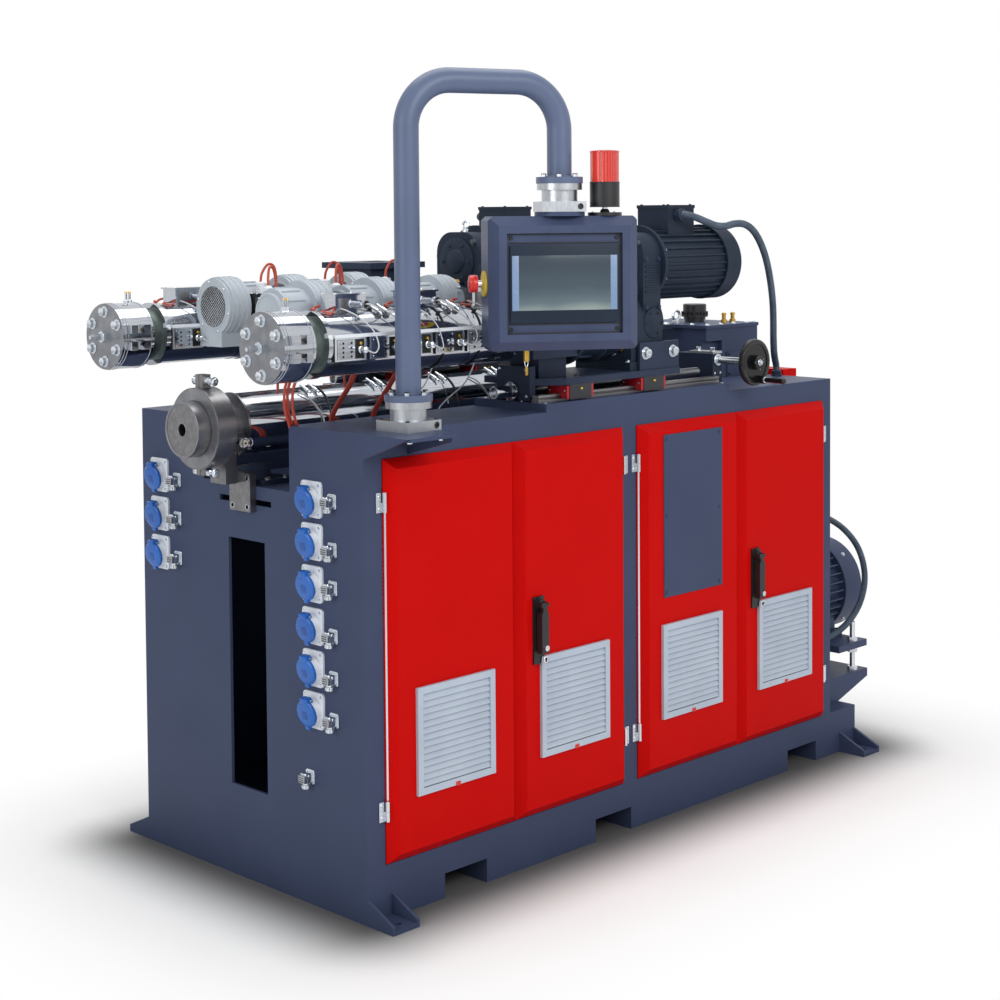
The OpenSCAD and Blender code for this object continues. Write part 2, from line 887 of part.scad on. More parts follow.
module flange_bolts(z, h) {
  bolt_r = 6;
  bolt_pcr = 42;
  for (a = [0 : 60 : 300]) rotate([0, 0, a]) translate([bolt_pcr, 0, 0])
    rod_z(z, z + h, bolt_r);
}

module arm_tube() {
  bolt_h = 6;
  z0 = ped_top + rest_gap;
  low = arm_low_z + flange_t;
  color(slate) translate([arm_at[0], arm_at[1], 0]) rotate([0, 0, arm_turn]) {
    difference() {
      union() {
        arm_path(arm_r, z0, low - flange_t);
        rod_z(z0, z0 + flange_t, collar_r + flange_step);
        translate([arm_reach, 0, 0]) rod_z(low - flange_t, low, collar_r + flange_step);
        rod_z(deck_z + rest_gap, z0 + cut, spigot_r);
        translate([arm_reach, 0, 0]) rod_z(hmi_top + rest_gap, low, spigot_r);
      }
      arm_path(arm_r - arm_wall, z0 + flange_t, low);
    }
    flange_bolts(z0 + flange_t, bolt_h);
    translate([arm_reach, 0, 0]) flange_bolts(low, bolt_h);
  }
}

// Operator panel, drawn about its swivel axis
module at_hmi() {
  translate([drop_at[0], drop_at[1], 0]) rotate([0, 0, hmi_turn]) children();
}

module chamfer_case(t) {
  w = hmi_size[0] * half - t;
  f = -hmi_d[0] + t;
  b = hmi_d[1] - t;
  z0 = hmi_z + t;
  z1 = hmi_top - t;
  k = 22;
  c = 10;
  intersection() {
    translate([0, 0, z0]) linear_extrude(z1 - z0) polygon([[-w, f + k], [-w + k, f],
        [w - k, f], [w, f + k], [w, b - c], [w - c, b], [-w + c, b], [-w, b - c]]);
    along_x(-w - cut, w + cut) polygon([[f + k, z0], [f, z0 + k], [f, z1 - k],
        [f + k, z1], [b - c, z1], [b, z1 - c], [b, z0 + c], [b - c, z0]]);
    along_y(f - cut, b + cut) polygon([[-w + c, z0], [-w, z0 + c], [-w, z1 - c],
        [-w + c, z1], [w - c, z1], [w, z1 - c], [w, z0 + c], [w - c, z0]]);
  }
}

module hmi_head() {
  case_t = 16;
  collar_step = 6;
  ring_r = 30;
  lock_r = 7;
  lock_l = 26;
  lock_x = -82;
  x0 = -hmi_size[0] * half;
  low = arm_low_z - flange_t - rest_gap;
  color(slate) at_hmi() {
    difference() {
      union() {
        chamfer_case(0);
        rod_z(hmi_top, hmi_top + hmi_pad, collar_r + collar_step);
        swivel_block(hmi_top + hmi_pad, hmi_top + hmi_pad + arm_block_h,
            low, low + flange_t);
      }
      chamfer_case(case_t);
      span([-recess_size[0] * half, -hmi_d[0] - cut, recess_z],
          [recess_size[0] * half, -hmi_d[0] + recess_d, recess_z + recess_size[1]]);
      rod_z(hmi_top, low + flange_t + cut, spigot_r + run_gap);
      translate([0, stop_at[0], stop_at[1]]) rod_x(x0 - cut, x0 + case_t + cut, plunger_r + run_gap);
    }
    translate([0, stop_at[0], stop_at[1]]) difference() {
      rod_x(x0 - stop_ring_l, x0, ring_r);
      rod_x(x0 - stop_ring_l - cut, x0 + cut, plunger_r + run_gap);
    }
    translate([lock_x, 0, 0]) rod_z(hmi_z - lock_l, hmi_z, lock_r);
  }
}

module hmi_screen() {
  screen = [248, 182];
  screen_t = 6;
  y1 = -hmi_d[0] + recess_d;
  z0 = recess_z + (recess_size[1] - screen[1]) * half;
  color(dark) at_hmi() span([-screen[0] * half, y1 - screen_t, z0],
      [screen[0] * half, y1, z0 + screen[1]]);
}

module estop_button() {
  x0 = -hmi_size[0] * half;
  stand = 14;
  head_t = 18;
  inside = 8;
  color(red) at_hmi() translate([0, stop_at[0], stop_at[1]]) {
    rod_x(x0 - stop_ring_l - stand, x0 + inside, plunger_r);
    rod_x(x0 - stop_ring_l - stand - head_t, x0 - stop_ring_l - stand, estop_r);
  }
}

module beacon() {
  beacon_x = 109;
  disc_r = 40;
  disc_t = 8;
  stem_r = 6.5;
  stem_z = 1606;
  body_z = 1665;
  lens_z = 1735;
  lens_in = 1;
  color(dark) at_hmi() translate([beacon_x, 0, 0]) {
    rod_z(hmi_top, hmi_top + disc_t, disc_r);
    rod_z(hmi_top + disc_t, stem_z, stem_r);
    rod_z(stem_z, body_z, lamp_r);
    color(red) rod_z(body_z, lens_z, lamp_r - lens_in);
  }
}

// Low extruder
module at_main() {
  translate([0, main_y, main_z]) children();
}

module turned(points) {
  rotate([0, 90, 0]) rotate_extrude() polygon([for (p = points) [p[1], p[0]]]);
}

module main_barrel() {
  cone = [-130, -96];
  end_flange_r = 88;
  block_h = 90;
  throat_half = 65;
  throat_top = 165;
  throat_t = 14;
  color(steel) at_main() {
    difference() {
      union() {
        rod_x(nose_x, nose_end, nose_r);
        rod_x(nose_end, flange_end, flange_r);
        rod_x(flange_end, feed_x[0], main_r);
        span([feed_x[0], -block_h, -block_h], [feed_x[1], block_h, block_h]);
        rod_x(feed_x[1], gear_x[0], end_flange_r);
        translate([(feed_x[0] + feed_x[1]) * half, 0, 0]) {
          rod_z(block_h, throat_top, throat_r + throat_t);
          span([-throat_half, -throat_half, throat_top - throat_t],
              [throat_half, throat_half, throat_top]);
        }
      }
      turned([[nose_x - cut, 0], [nose_x - cut, die_r], [cone[0], die_r],
          [cone[1], main_bore_r], [gear_x[0] + cut, main_bore_r], [gear_x[0] + cut, 0]]);
      translate([(feed_x[0] + feed_x[1]) * half, 0, 0]) {
        rod_z(0, throat_top + cut, throat_r);
        rod_z(throat_top - feed_seat_l, throat_top + cut, feed_seat_r);
      }
    }
    heater_plug();
  }
}

// Angled plug of the nose heater
module heater_plug() {
  x = [-90, -62];
  y = [-78, -46];
  z = [-52, -10];
  pin_l = 22;
  pin_out_r = 11;
  span([x[0], y[0], z[0]], [x[1], y[1], z[1]]);
  translate([(x[0] + x[1]) * half, 0, (z[0] + z[1]) * half])
    rod_y(y[0] - pin_l, y[0], pin_out_r);
}

module ring_x(lo, hi, r_in, r_out) {
  difference() {
    rod_x(lo, hi, r_out);
    rod_x(lo - cut, hi + cut, r_in);
  }
}

module main_shroud() {
  wall = 3;
  ring_t = 6;
  rim = 3;
  heater_r = 68;
  heater_l = 120;
  straps = [177, 387, 597, 807];
  strap_w = 12;
  x0 = main_shroud_x[0];
  x1 = main_shroud_x[1];
  color(steel) at_main() {
    ring_x(x0, x1, main_shroud_r - wall, main_shroud_r);
    ring_x(x0 - ring_t, x0, main_r, main_shroud_r + rim);
    ring_x(x1, x1 + ring_t, main_r, main_shroud_r);
    for (s = straps) {
      ring_x(s, s + strap_w, main_shroud_r, main_shroud_r + rim * half);
      ring_x(s - heater_l, s - strap_w, main_r, heater_r);
    }
  }
}

module main_clamp() {
  lip_r = 65.3;
  slit = 1;
  lug_w = 14;
  lug_h = 30;
  bolt_r = 5.5;
  bolt_l = 30;
  bolt_head_r = 9;
  mid = (clamp_x[0] + clamp_x[1]) * half;
  color(steel) at_main() {
    difference() {
      union() {
        rod_x(clamp_x[0], clamp_x[1], clamp_r);
        span([clamp_x[0] + lug_w, -lug_w, -clamp_r - lug_h * half],
            [clamp_x[1] - lug_w, lug_w, clamp_r + lug_h]);
      }
      rod_x(clamp_x[0] - cut, clamp_x[1] + cut, lip_r);
      rod_x(nose_end, flange_end, flange_r);
      span([clamp_x[0] - cut, -slit, -clamp_r - lug_h],
          [clamp_x[1] + cut, slit, clamp_r + lug_h + cut]);
    }
    for (z = [clamp_r + lug_h * half, -clamp_r - lug_h * half * half])
      translate([mid, 0, z]) {
        rod_y(-lug_w - bolt_l, -lug_w, bolt_r);
        rod_y(-lug_w - bolt_l * half, -lug_w, bolt_head_r);
        rod_y(lug_w, lug_w + bolt_l * half, bolt_head_r);
        rod_y(-slit, slit, bolt_r);
      }
  }
}

module barrel_support() {
  face = [-18, 40, 893, 985];
  hole_r = 5;
  hole_at = [28, 34];
  bar_x = [-80, 60];
  bar_w = 20;
  bar_z = [965, 1000];
  cradle_x = [-80, -48];
  cradle_w = 30;
  shoe = [20, 120, 44];
  rear_x = [900, 960];
  rear_w = 50;
  feed_leg_x = [1400, 1500];
  feed_leg_w = 70;
  feed_leg_top = 1010;
  color(steel) translate([0, main_y, 0]) {
    difference() {
      union() {
        span([face[0], -face[1], face[2]], [0, face[1], face[3]]);
        span([bar_x[0], -bar_w, bar_z[0]], [bar_x[1], bar_w, bar_z[1]]);
        span([cradle_x[0], -cradle_w, bar_z[0]], [cradle_x[1], cradle_w, main_z - main_r + bar_w]);
        span([shoe[0], -shoe[2], trough_z], [shoe[1], shoe[2], bar_z[0]]);
        span([shoe[0], -bar_w, trough_z], [bar_x[1], bar_w, bar_z[1]]);
      }
      for (s = [-1, 1], t = [-1, 1])
        translate([0, s * hole_at[0], (face[2] + face[3]) * half + t * hole_at[1]])
          rod_x(face[0] - cut, cut, hole_r);
      translate([0, 0, main_z]) rod_x(cradle_x[0] - cut, cradle_x[1] + cut, main_r);
    }
    difference() {
      span([rear_x[0], -rear_w, trough_z], [rear_x[1], rear_w, main_z]);
      translate([0, 0, main_z]) rod_x(rear_x[0] - cut, rear_x[1] + cut, main_r);
    }
    span([feed_leg_x[0], -feed_leg_w, trough_z],
        [feed_leg_x[1], feed_leg_w, feed_leg_top]);
  }
}

module flights(x0, x1, pitch, land, r_in, r_out) {
  for (x = [x0 : pitch : x1 - land]) ring_x(x, x + land, r_in, r_out);
}

module main_screw() {
  root_r = 21;
  tip = [-92, -62];
  x1 = 1500;
  pitch = 60;
  land = 7;
  tail_end = 1760;
  gear_r = 124.7;
  r = main_bore_r - screw_clear;
  color(steel) at_main() {
    turned([[tip[0], 0], [tip[1], root_r], [x1, root_r], [x1, tail_r],
        [tail_end, tail_r], [tail_end, 0]]);
    flights(tip[1] + land, x1, pitch, land, root_r, r);
    ring_x(x1, gear_x[0] - land, tail_r, r);
    ring_x(gear_pair_x[0], gear_pair_x[1], tail_r, gear_r);
  }
}

// Main drive
module main_gearbox() {
  wall = 20;
  cap_x = 1700;
  cap = [30, 35, 40, 33];
  cap_h = [8, 30, 34, 52];
  fit_r = 6;
  fit_h = 24;
  fits = [[1722, -94], [1764, -94]];
  lid = 10;
  notch_x = 1640;
  notch_d = 18;
  notch_z = [1150, 1215];
  seat_t = 12;
  seat_r = 45;
  color(slate) {
    difference() {
      union() {
        span([gear_x[0], gear_side[0], gear_z[0]], [gear_x[1], gear_side[1], gear_z[1] - lid]);
        span([gear_x[0] - lid * half, gear_side[0] - lid * half, gear_z[1] - lid],
            [gear_x[1], gear_side[1] + lid * half, gear_z[1]]);
      }
      span([gear_x[0] + wall, gear_side[0] + wall, gear_z[0] + wall],
          [gear_x[1] - wall, gear_side[1] - wall, gear_z[1] - lid]);
      span([gear_x[0] - cut, gear_side[0] - cut, notch_z[0]],
          [notch_x, gear_side[0] + notch_d, notch_z[1]]);
      at_main() rod_x(gear_x[0] - cut, gear_x[0] + wall + cut, tail_r + run_gap);
      translate([0, main_y, input_z])
        rod_x(gear_x[1] - wall - cut, gear_x[1] + cut, input_r + run_gap);
    }
    at_main() ring_x(gear_x[1] - wall - seat_t, gear_x[1] - wall, tail_r + run_gap, seat_r);
    translate([0, main_y, input_z])
      ring_x(gear_x[0] + wall, gear_x[0] + wall + seat_t, input_r + run_gap, seat_r);
  }
  color(dark) translate([cap_x, main_y, gear_z[1]]) {
    rod_z(0, cap_h[0] + cap_h[0], cap[0]);
    rod_z(cap_h[0], cap_h[1], cap[3]);
    rod_z(cap_h[0] * 2, cap_h[1] - cap_h[0], cap[2]);
    rod_z(cap_h[1], cap_h[3], cap[1]);
  }
  color(brass) for (p = fits) translate([p[0], main_y + p[1], gear_z[1]])
    rod_z(0, fit_h, fit_r);
}

module guard_outline(t) {
  polygon([[guard_edge[0] + t, guard_zs[0] + t],
      [guard_edge[1] - t * half, guard_zs[0] + t],
      [guard_edge[2] - t, guard_zs[1] + t * half],
      [guard_edge[2] - t, guard_zs[2] - t], [guard_edge[0] + t, guard_zs[2] - t]]);
}

module belt_guard() {
  wall = 3;
  shaft_hole = 32;
  post_r = 10;
  posts = [[-209, 1000], [216, 1000], [-209, 500], [-209, 760]];
  color(red) {
    difference() {
      along_x(guard_x[0], guard_x[1]) guard_outline(0);
      along_x(guard_x[0] + wall, guard_x[1] - wall) guard_outline(wall);
      translate([0, main_y, input_z]) rod_x(guard_x[0] - cut, guard_x[0] + wall + cut, shaft_hole);
      translate([0, motor_mid[0], motor_mid[1]])
        rod_x(guard_x[1] - wall - cut, guard_x[1] + cut, shaft_hole);
    }
    for (p = posts) translate([0, main_y + p[0], p[1]]) rod_x(cab_l, guard_x[0], post_r);
  }
}

// Belt loop: two arcs and the tangent strip between them
module belt_outline(t) {
  a = [main_y, input_z];
  b = motor_mid;
  d = b - a;
  len = norm(d);
  u = d / len;
  n = [-u[1], u[0]];
  ra = big_pulley_r + t;
  rb = small_pulley_r + t;
  s = (ra - rb) / len;
  c = sqrt(1 - s * s);
  translate(a) circle(ra);
  translate(b) circle(rb);
  polygon([a + ra * (u * s + n * c), b + rb * (u * s + n * c),
      b + rb * (u * s - n * c), a + ra * (u * s - n * c)]);
}

module drive_belts() {
  belt_t = 4;
  count = 3;
  w = (belt_x[1] - belt_x[0]) / count;
  gap = 1;
  color(dark) for (i = [0 : count - 1])
    along_x(belt_x[0] + w * i, belt_x[0] + w * (i + 1) - gap) difference() {
      belt_outline(belt_t);
      belt_outline(rest_gap);
    }
}

module gearbox_pulley() {
  shaft_x = 1600;
  pinion_r = 58.8;
  color(steel) translate([0, main_y, input_z]) {
    rod_x(shaft_x, pulley_rim_x[1], input_r);
    rod_x(gear_pair_x[0], gear_pair_x[1], pinion_r);
    rod_x(pulley_rim_x[0], pulley_rim_x[1], big_pulley_r);
  }
}

module motor_pulley() {
  inside = 60;
  color(steel) translate([0, motor_mid[0], motor_mid[1]]) {
    rod_x(pulley_rim_x[0], motor_x[0] + inside, motor_shaft_r);
    rod_x(pulley_rim_x[0], pulley_rim_x[1], small_pulley_r);
  }
}

// Ribbed motor body along x with its cowl at the rear
module ribbed_motor(x0, x1, cowl_x, r_body, r_fin, r_cowl, fins, fin_t) {
  rim = 4;
  rod_x(x0, x1 - rim, r_body);
  for (i = [0 : fins - 1]) rotate([180 / fins * i, 0, 0])
    span([x0 + 2 * rim, -fin_t * half, -r_fin], [cowl_x + rim, fin_t * half, r_fin]);
  difference() {
    rod_x(cowl_x, x1, r_cowl);
    rod_x(x1 - rim, x1 + cut, r_cowl - 2 * rim);
  }
}

module main_motor() {
  body_r = 116;
  cowl_x = 2060;
  flange_l = 14;
  fins = 16;
  fin_t = 4;
  foot_x = [1950, 2058];
  foot_w = 36;
  foot_y = 108;
  foot_h = 18;
  web_y = 81;
  fin_in = 6;
  face_in = 10;
  bore_l = 62;
  plate_top = 287;
  box_x = [1910, 2010];
  box_w = 56;
  box_z = [120, 190];
  color(slate) translate([0, motor_mid[0], 0]) {
    difference() {
      translate([0, 0, motor_at[1]]) union() {
        ribbed_motor(motor_x[0], motor_x[1], cowl_x, body_r, motor_r - fin_in,
            motor_r, fins, fin_t);
        rod_x(motor_x[0], motor_x[0] + flange_l, motor_r - face_in);
        span([box_x[0], -box_w, box_z[0]], [box_x[1], box_w, box_z[1]]);
        span([box_x[0] + flange_l, -box_w + flange_l, 0],
            [box_x[1] - flange_l, box_w - flange_l, box_z[0]]);
      }
      translate([0, 0, motor_at[1]])
        rod_x(motor_x[0] - cut, motor_x[0] + bore_l, motor_shaft_r + run_gap);
      span([motor_x[0], -motor_r, 0], [motor_x[1], motor_r, plate_top]);
    }
    for (s = [-1, 1]) {
      span([foot_x[0], s * foot_y - foot_w * half, plate_top],
          [foot_x[1], s * foot_y + foot_w * half, plate_top + foot_h]);
      span([foot_x[0], s * web_y - foot_w * half, plate_top],
          [foot_x[1], s * web_y + foot_w * half * half, plate_top + 4 * foot_h]);
    }
  }
}

module motor_mount() {
  arm_x = [1798, 2078];
  arm_y = [-204, 203];
  web_t = 10;
  top = 198;
  plate_t = 8;
  end_h = 24;
  table_x = [1930, 2078];
  table_y = [-202, 196];
  table_z = [267, 287];
  pin_at = [212, 277];
  lug_r = 14;
  lug_x = [[1935, 1951], [2057, 2073]];
  ear_x = [1953, 2055];
  stud_at = [2024, -186];
  stud_z = [190, 347];
  stud_r = 8;
  stud_clear = 1;
  nut_r = 15;
  nut_h = 13;
  color(slate) translate([0, motor_mid[0], 0]) {
    for (y = [arm_y[0], arm_y[1] - web_t]) along_y(y, y + web_t)
      polygon([[arm_x[0], base_h], [base_l, base_h], [arm_x[1], top - end_h],
          [arm_x[1], top], [arm_x[0], top]]);
    span([arm_x[0], arm_y[0], top - plate_t], [arm_x[1], arm_y[1], top]);
    for (l = lug_x) difference() {
      along_x(l[0], l[1]) union() {
        translate(pin_at) circle(lug_r);
        polygon([[arm_y[1] - web_t, top - plate_t], [pin_at[0] + lug_r, top - plate_t],
            [pin_at[0] + lug_r, pin_at[1]], [pin_at[0] - lug_r, pin_at[1]],
            [pin_at[0] - lug_r, top]]);
      }
      translate([0, pin_at[0], pin_at[1]]) rod_x(l[0] - cut, l[1] + cut, pin_r * 2);
    }
    difference() {
      union() {
        span([table_x[0], table_y[0], table_z[0]], [table_x[1], table_y[1], table_z[1]]);
        span([ear_x[0], table_y[1], table_z[0]], [ear_x[1], pin_at[0], table_z[1]]);
        translate([0, pin_at[0], pin_at[1]])
          rod_x(ear_x[0], ear_x[1], (table_z[1] - table_z[0]) * half);
      }
      translate([0, pin_at[0], pin_at[1]])
        rod_x(ear_x[0] - cut, ear_x[1] + cut, pin_r * 2 + run_gap);
      translate([stud_at[0], stud_at[1], 0])
        rod_z(table_z[0] - cut, table_z[1] + cut, stud_r + stud_clear);
    }
  }
  color(steel) translate([0, motor_mid[0], 0]) {
    translate([0, pin_at[0], pin_at[1]]) rod_x(lug_x[0][0], lug_x[1][1], pin_r * 2);
    translate([stud_at[0], stud_at[1], 0]) {
      rod_z(top, stud_z[1], stud_r);
      for (z = [top, table_z[0] - nut_h, table_z[1]]) translate([0, 0, z])
        cylinder(h = nut_h, r = nut_r, $fn = hex_sides);
    }
  }
}

// Small extruders: side is +1 where the blowers stand on the far side

module at_unit(i) {
  translate([0, unit_y[i], 0]) children();
}

// The far slide is the near one mirrored, so each wheel faces its own side
module at_slide(i) {
  at_unit(i) mirror([0, i, 0]) children();
}

module on_axis() {
  translate([0, 0, unit_z]) children();
}

module unit_barrel() {
  head_neck_r = 64;
  bolt_r = 11;
  bolt_h = 11;
  nose_hex_r = 15;
  nose_hex_h = 10;
  stub_r = 8;
  stub_l = 42;
  pins_x = [-122, -112];
  pins_r = 3;
  pins_h = 24;
  plug_x = -140;
  plug_r = 20;
  plug_h = 22;
  lug = [18, 12, 20];
  lugs_x = [-164, -128];
  bore_x = -150;
  house_w = 70;
  house_z = 70;
  foot_x = [640, 740];
  foot_w = 50;
  throat_pipe = 75;
  lantern_r = [70, 85];
  hole_r = 5.5;
  top_t = 16;
  sunk = 2;
  color(steel) {
    difference() {
      union() {
        on_axis() {
          rod_x(head_x[0], head_x[1], head_r);
          rod_x(head_x[1], shroud_x[0], head_neck_r);
          rod_x(shroud_x[0], lantern_x[2], unit_r);
          span([feed_house_x[0], -house_w, -house_z], [feed_house_x[1], house_w, house_z]);
          rod_x(lantern_x[0], lantern_x[1], lantern_r[0]);
          rod_x(lantern_x[1], lantern_x[2], lantern_r[1]);
        }
        span([foot_x[0], -foot_w, block_top + carriage_t], [foot_x[1], foot_w, unit_z]);
        span([post_mid - throat_pipe, -throat_pipe, unit_z],
            [post_mid + throat_pipe, throat_pipe, throat_z]);
        span([post_mid - throat_w * half, -throat_w * half, throat_z - top_t],
            [post_mid + throat_w * half, throat_w * half, throat_z]);
      }
      on_axis() {
        rod_x(bore_x, lantern_x[2] + cut, unit_bore_r);
        for (a = [30 : 60 : 330]) rotate([a, 0, 0]) translate([0, head_bolt_pcr, 0])
          rod_x(head_x[0] - cut, head_x[0] + bolt_h, hole_r);
      }
      translate([post_mid, 0, 0]) {
        rod_z(unit_z, throat_z + cut, throat_r);
        rod_z(throat_z - feed_seat_l, throat_z + cut, feed_seat_r);
        for (s = [-1, 1], t = [-1, 1])
          translate([s * throat_pitch * half, t * throat_pitch * half, 0])
            rod_z(throat_z - top_t - cut, throat_z + cut, hole_r);
      }
    }
    on_axis() {
      for (a = [30 : 60 : 330]) rotate([a, 0, 0]) translate([0, head_bolt_pcr, 0]) {
        hex_x(head_x[0], bolt_h, bolt_r);
        rod_x(head_x[0], head_x[0] + bolt_h, hole_r);
      }
      hex_x(head_x[0], nose_hex_h, nose_hex_r);
      rod_x(head_x[0] - stub_l, head_x[0] - nose_hex_h, stub_r);
      for (x = pins_x) translate([x, 0, 0])
        rod_z(head_r - sunk, head_r + pins_h, pins_r);
      translate([plug_x, head_r - sunk, 0]) rotate([-90, 0, 0])
        cylinder(h = plug_h, r = plug_r, $fn = hex_sides);
      for (x = lugs_x, z = [-1, 1]) translate([x, -head_r - lug[1] * half, z * lug[2]])
        cube([lug[0], lug[1] * 2, lug[2]], center = true);
    }
  }
}

module louvre_cell(x) {
  rim = [6, 3];
  plate = [76, 3, 44];
  plate_in = 8;
  slots = [3, 4];
  slot = [16, 5];
  slot_in = 4;
  gap = [24, 10];
  frame_l = 92;
  depth = 22;
  z0 = louvre_z[0];
  z1 = z0 + rim[1];
  face = louvre_y - louvre_lip;
  difference() {
    span([x, face, z0], [x + frame_l, louvre_y + depth, louvre_z[1]]);
    span([x + rim[0], face - cut, z1], [x + frame_l - rim[0], louvre_y, louvre_z[1] - rim[1]]);
    rod_x(x - cut, x + frame_l + cut, shroud_r);
  }
  translate([x + plate_in, 0, z1]) difference() {
    span([0, louvre_y - plate[1], 0], [plate[0], louvre_y, plate[2]]);
    for (i = [0 : slots[0] - 1], k = [0 : slots[1] - 1])
      translate([slot_in + gap[0] * i, 0, slot_in + gap[1] * k])
        span([0, face, 0], [slot[0], louvre_y + cut, slot[1]]);
  }
}

module silver_box(x) {
  size = [90, 52, 50];
  z0 = 62;
  lip = 4;
  plug_r = 9;
  plug_l = 24;
  difference() {
    union() {
      span([x - size[0] * half, -size[1] * half, z0],
          [x + size[0] * half, size[1] * half, z0 + size[2] - lip]);
      span([x - size[0] * half - lip, -size[1] * half - lip, z0 + size[2] - lip],
          [x + size[0] * half + lip, size[1] * half + lip, z0 + size[2]]);
      translate([x + size[0] * half * half, 0, z0 + size[2] * half])
        rod_y(-size[1] * half - plug_l, 0, plug_r);
    }
    rod_x(x - size[0], x + size[0], shroud_r);
  }
}

module unit_shroud() {
  wall = 3;
  rim = 3;
  strap_w = 14;
  strap_h = 2;
  straps = [177, 387];
  heater_r = 64;
  heater_l = 150;
  strip_h = 8;
  first_cell = -42;
  boxes = [50, 270, 480];
  x0 = shroud_x[0];
  x1 = shroud_x[1];
  color(steel) on_axis() {
    ring_x(x0, x1, shroud_r - wall, shroud_r);
    ring_x(x0, x0 + 4 * wall, unit_r, shroud_r + rim);
    ring_x(x1 - wall, x1, unit_r, shroud_r);
    for (s = straps) {
      ring_x(s, s + strap_w, shroud_r, shroud_r + strap_h);
      ring_x(s - heater_l, s - strap_w, unit_r, heater_r);
    }
    for (i = [0 : cell_n - 1]) louvre_cell(first_cell + cell_pitch * i);
    difference() {
      span([first_cell, louvre_y, louvre_z[1]],
          [x1 - wall, louvre_y + strip_h * 3, louvre_z[1] + strip_h]);
      rod_x(x0, x1, shroud_r);
    }
    for (x = boxes) silver_box(x);
  }
}

// Blower with its inlet grille towards negative x when dir is 1
module blower(dir, side) {
  scroll = 62;
  ring = 8;
  ring_in = 3;
  mesh_t = 2;
  motor_l = 86;
  body_r = 56;
  dome = 10;
  grille_r = 50;
  hole = 11;
  pitch = 16;
  duct_w = 64;
  duct_z = [-98, -44];
  reach = [side > 0 ? 46 : -louvre_y + louvre_lip, 166];
  tb = [52, 34, 62];
  gland_r = 9;
  gland_h = 26;
  mirror([dir < 0 ? 1 : 0, 0, 0]) {
    difference() {
      union() {
        rod_x(ring, scroll, blower_r);
        rod_x(0, ring, blower_r - ring_in);
      }
      rod_x(-cut, scroll - ring, grille_r);
    }
    difference() {
      rod_x(mesh_t, ring - mesh_t, grille_r + cut);
      for (i = [-3 : 3], k = [-3 : 3])
        if (norm([i, k]) * pitch < grille_r - hole * half)
          translate([0, i * pitch - hole * half, k * pitch - hole * half])
            span([-cut, 0, 0], [ring, hole, hole]);
    }
    rod_x(scroll, scroll + motor_l - dome, body_r);
    rod_x(scroll + motor_l - dome, scroll + motor_l, body_r - dome);
    rod_x(scroll - ring, scroll, grille_r + cut);
  }
  x0 = dir > 0 ? 0 : -scroll;
  lo = side > 0 ? reach[0] - blower_off : blower_off - reach[1];
  hi = side > 0 ? reach[1] - blower_off : blower_off - reach[0];
  difference() {
    span([x0, lo, duct_z[0]], [x0 + scroll, hi, duct_z[1]]);
    translate([0, -side * blower_off, unit_z - blower_z])
      rod_x(x0 - cut, x0 + scroll + cut, shroud_r);
  }
  xb = dir > 0 ? scroll + ring : -scroll - ring - tb[0];
  translate([xb, side * body_r - (side > 0 ? 0 : tb[1]), -tb[2] * half]) {
    translate([0, side > 0 ? -ring : ring, 0]) cube(tb);
    translate([tb[0] * half, tb[1] * half, tb[2]]) rod_z(-cut, gland_h, gland_r);
  }
}

module unit_blowers(i) {
  side = unit_side[i];
  first = [88, 40];
  dirs = [-1, 1];
  color(white) translate([0, side * blower_off, blower_z])
    for (k = [0 : 2]) translate([first[i] + blower_pitch * k, 0, 0]) blower(dirs[i], side);
}

module unit_gearmotor() {
  low_w = 90;
  low_top = 97;
  upper_x = 1000;
  upper_w = 85;
  upper_top = 1540;
  round_r = 60;
  foot = [935, 1080, 95, 22];
  cover_r = 80;
  cover_l = 18;
  mount_r = 103;
  body_r = 90;
  fins = 14;
  fin_t = 4;
  tb_x = [1141, 1250];
  tb_w = 53;
  tb_top = 1612;
  tb_lid = 8;
  tb_lip = 2;
  fin_in = 5;
  gland_at = [1177, 1586];
  gland_r = 15;
  gland_l = 16;
  tail_l = 100;
  color(slate) {
    difference() {
      union() {
        along_x(gearmotor_x[0], gearmotor_x[1]) {
          translate([-low_w, unit_z - low_top]) square([2 * low_w, low_top]);
          translate([0, unit_z]) circle(low_w);
        }
        along_x(upper_x, gearmotor_x[1]) {
          translate([-upper_w, unit_z]) square([2 * upper_w, upper_top - unit_z - round_r]);
          for (s = [-1, 1]) translate([s * (upper_w - round_r), upper_top - round_r])
            circle(round_r);
          translate([-upper_w + round_r, unit_z])
            square([2 * (upper_w - round_r), upper_top - unit_z]);
        }
        span([foot[0], -foot[2], block_top + carriage_t],
            [foot[1], foot[2], block_top + carriage_t + foot[3]]);
        on_axis() rod_x(gearmotor_x[1], gearmotor_x[1] + cover_l, cover_r);
      }
      on_axis() rod_x(gearmotor_x[0] - cut, gearmotor_x[0] + tail_l, unit_tail_r + run_gap);
    }
    translate([0, 0, small_motor_z]) {
      rod_x(gearmotor_x[1], motor_face, mount_r);
      ribbed_motor(motor_face, cowl_at[1], cowl_at[0], body_r, small_motor_r - fin_in,
          small_motor_r, fins, fin_t);
    }
    span([tb_x[0], -tb_w, small_motor_z + body_r * half], [tb_x[1], tb_w, tb_top - tb_lid]);
    span([tb_x[0] - tb_lip, -tb_w - tb_lip, tb_top - tb_lid],
        [tb_x[1] + tb_lip, tb_w + tb_lip, tb_top]);
    translate([gland_at[0], 0, gland_at[1]]) rod_y(-tb_w - gland_l, -tb_w, gland_r);
  }
}

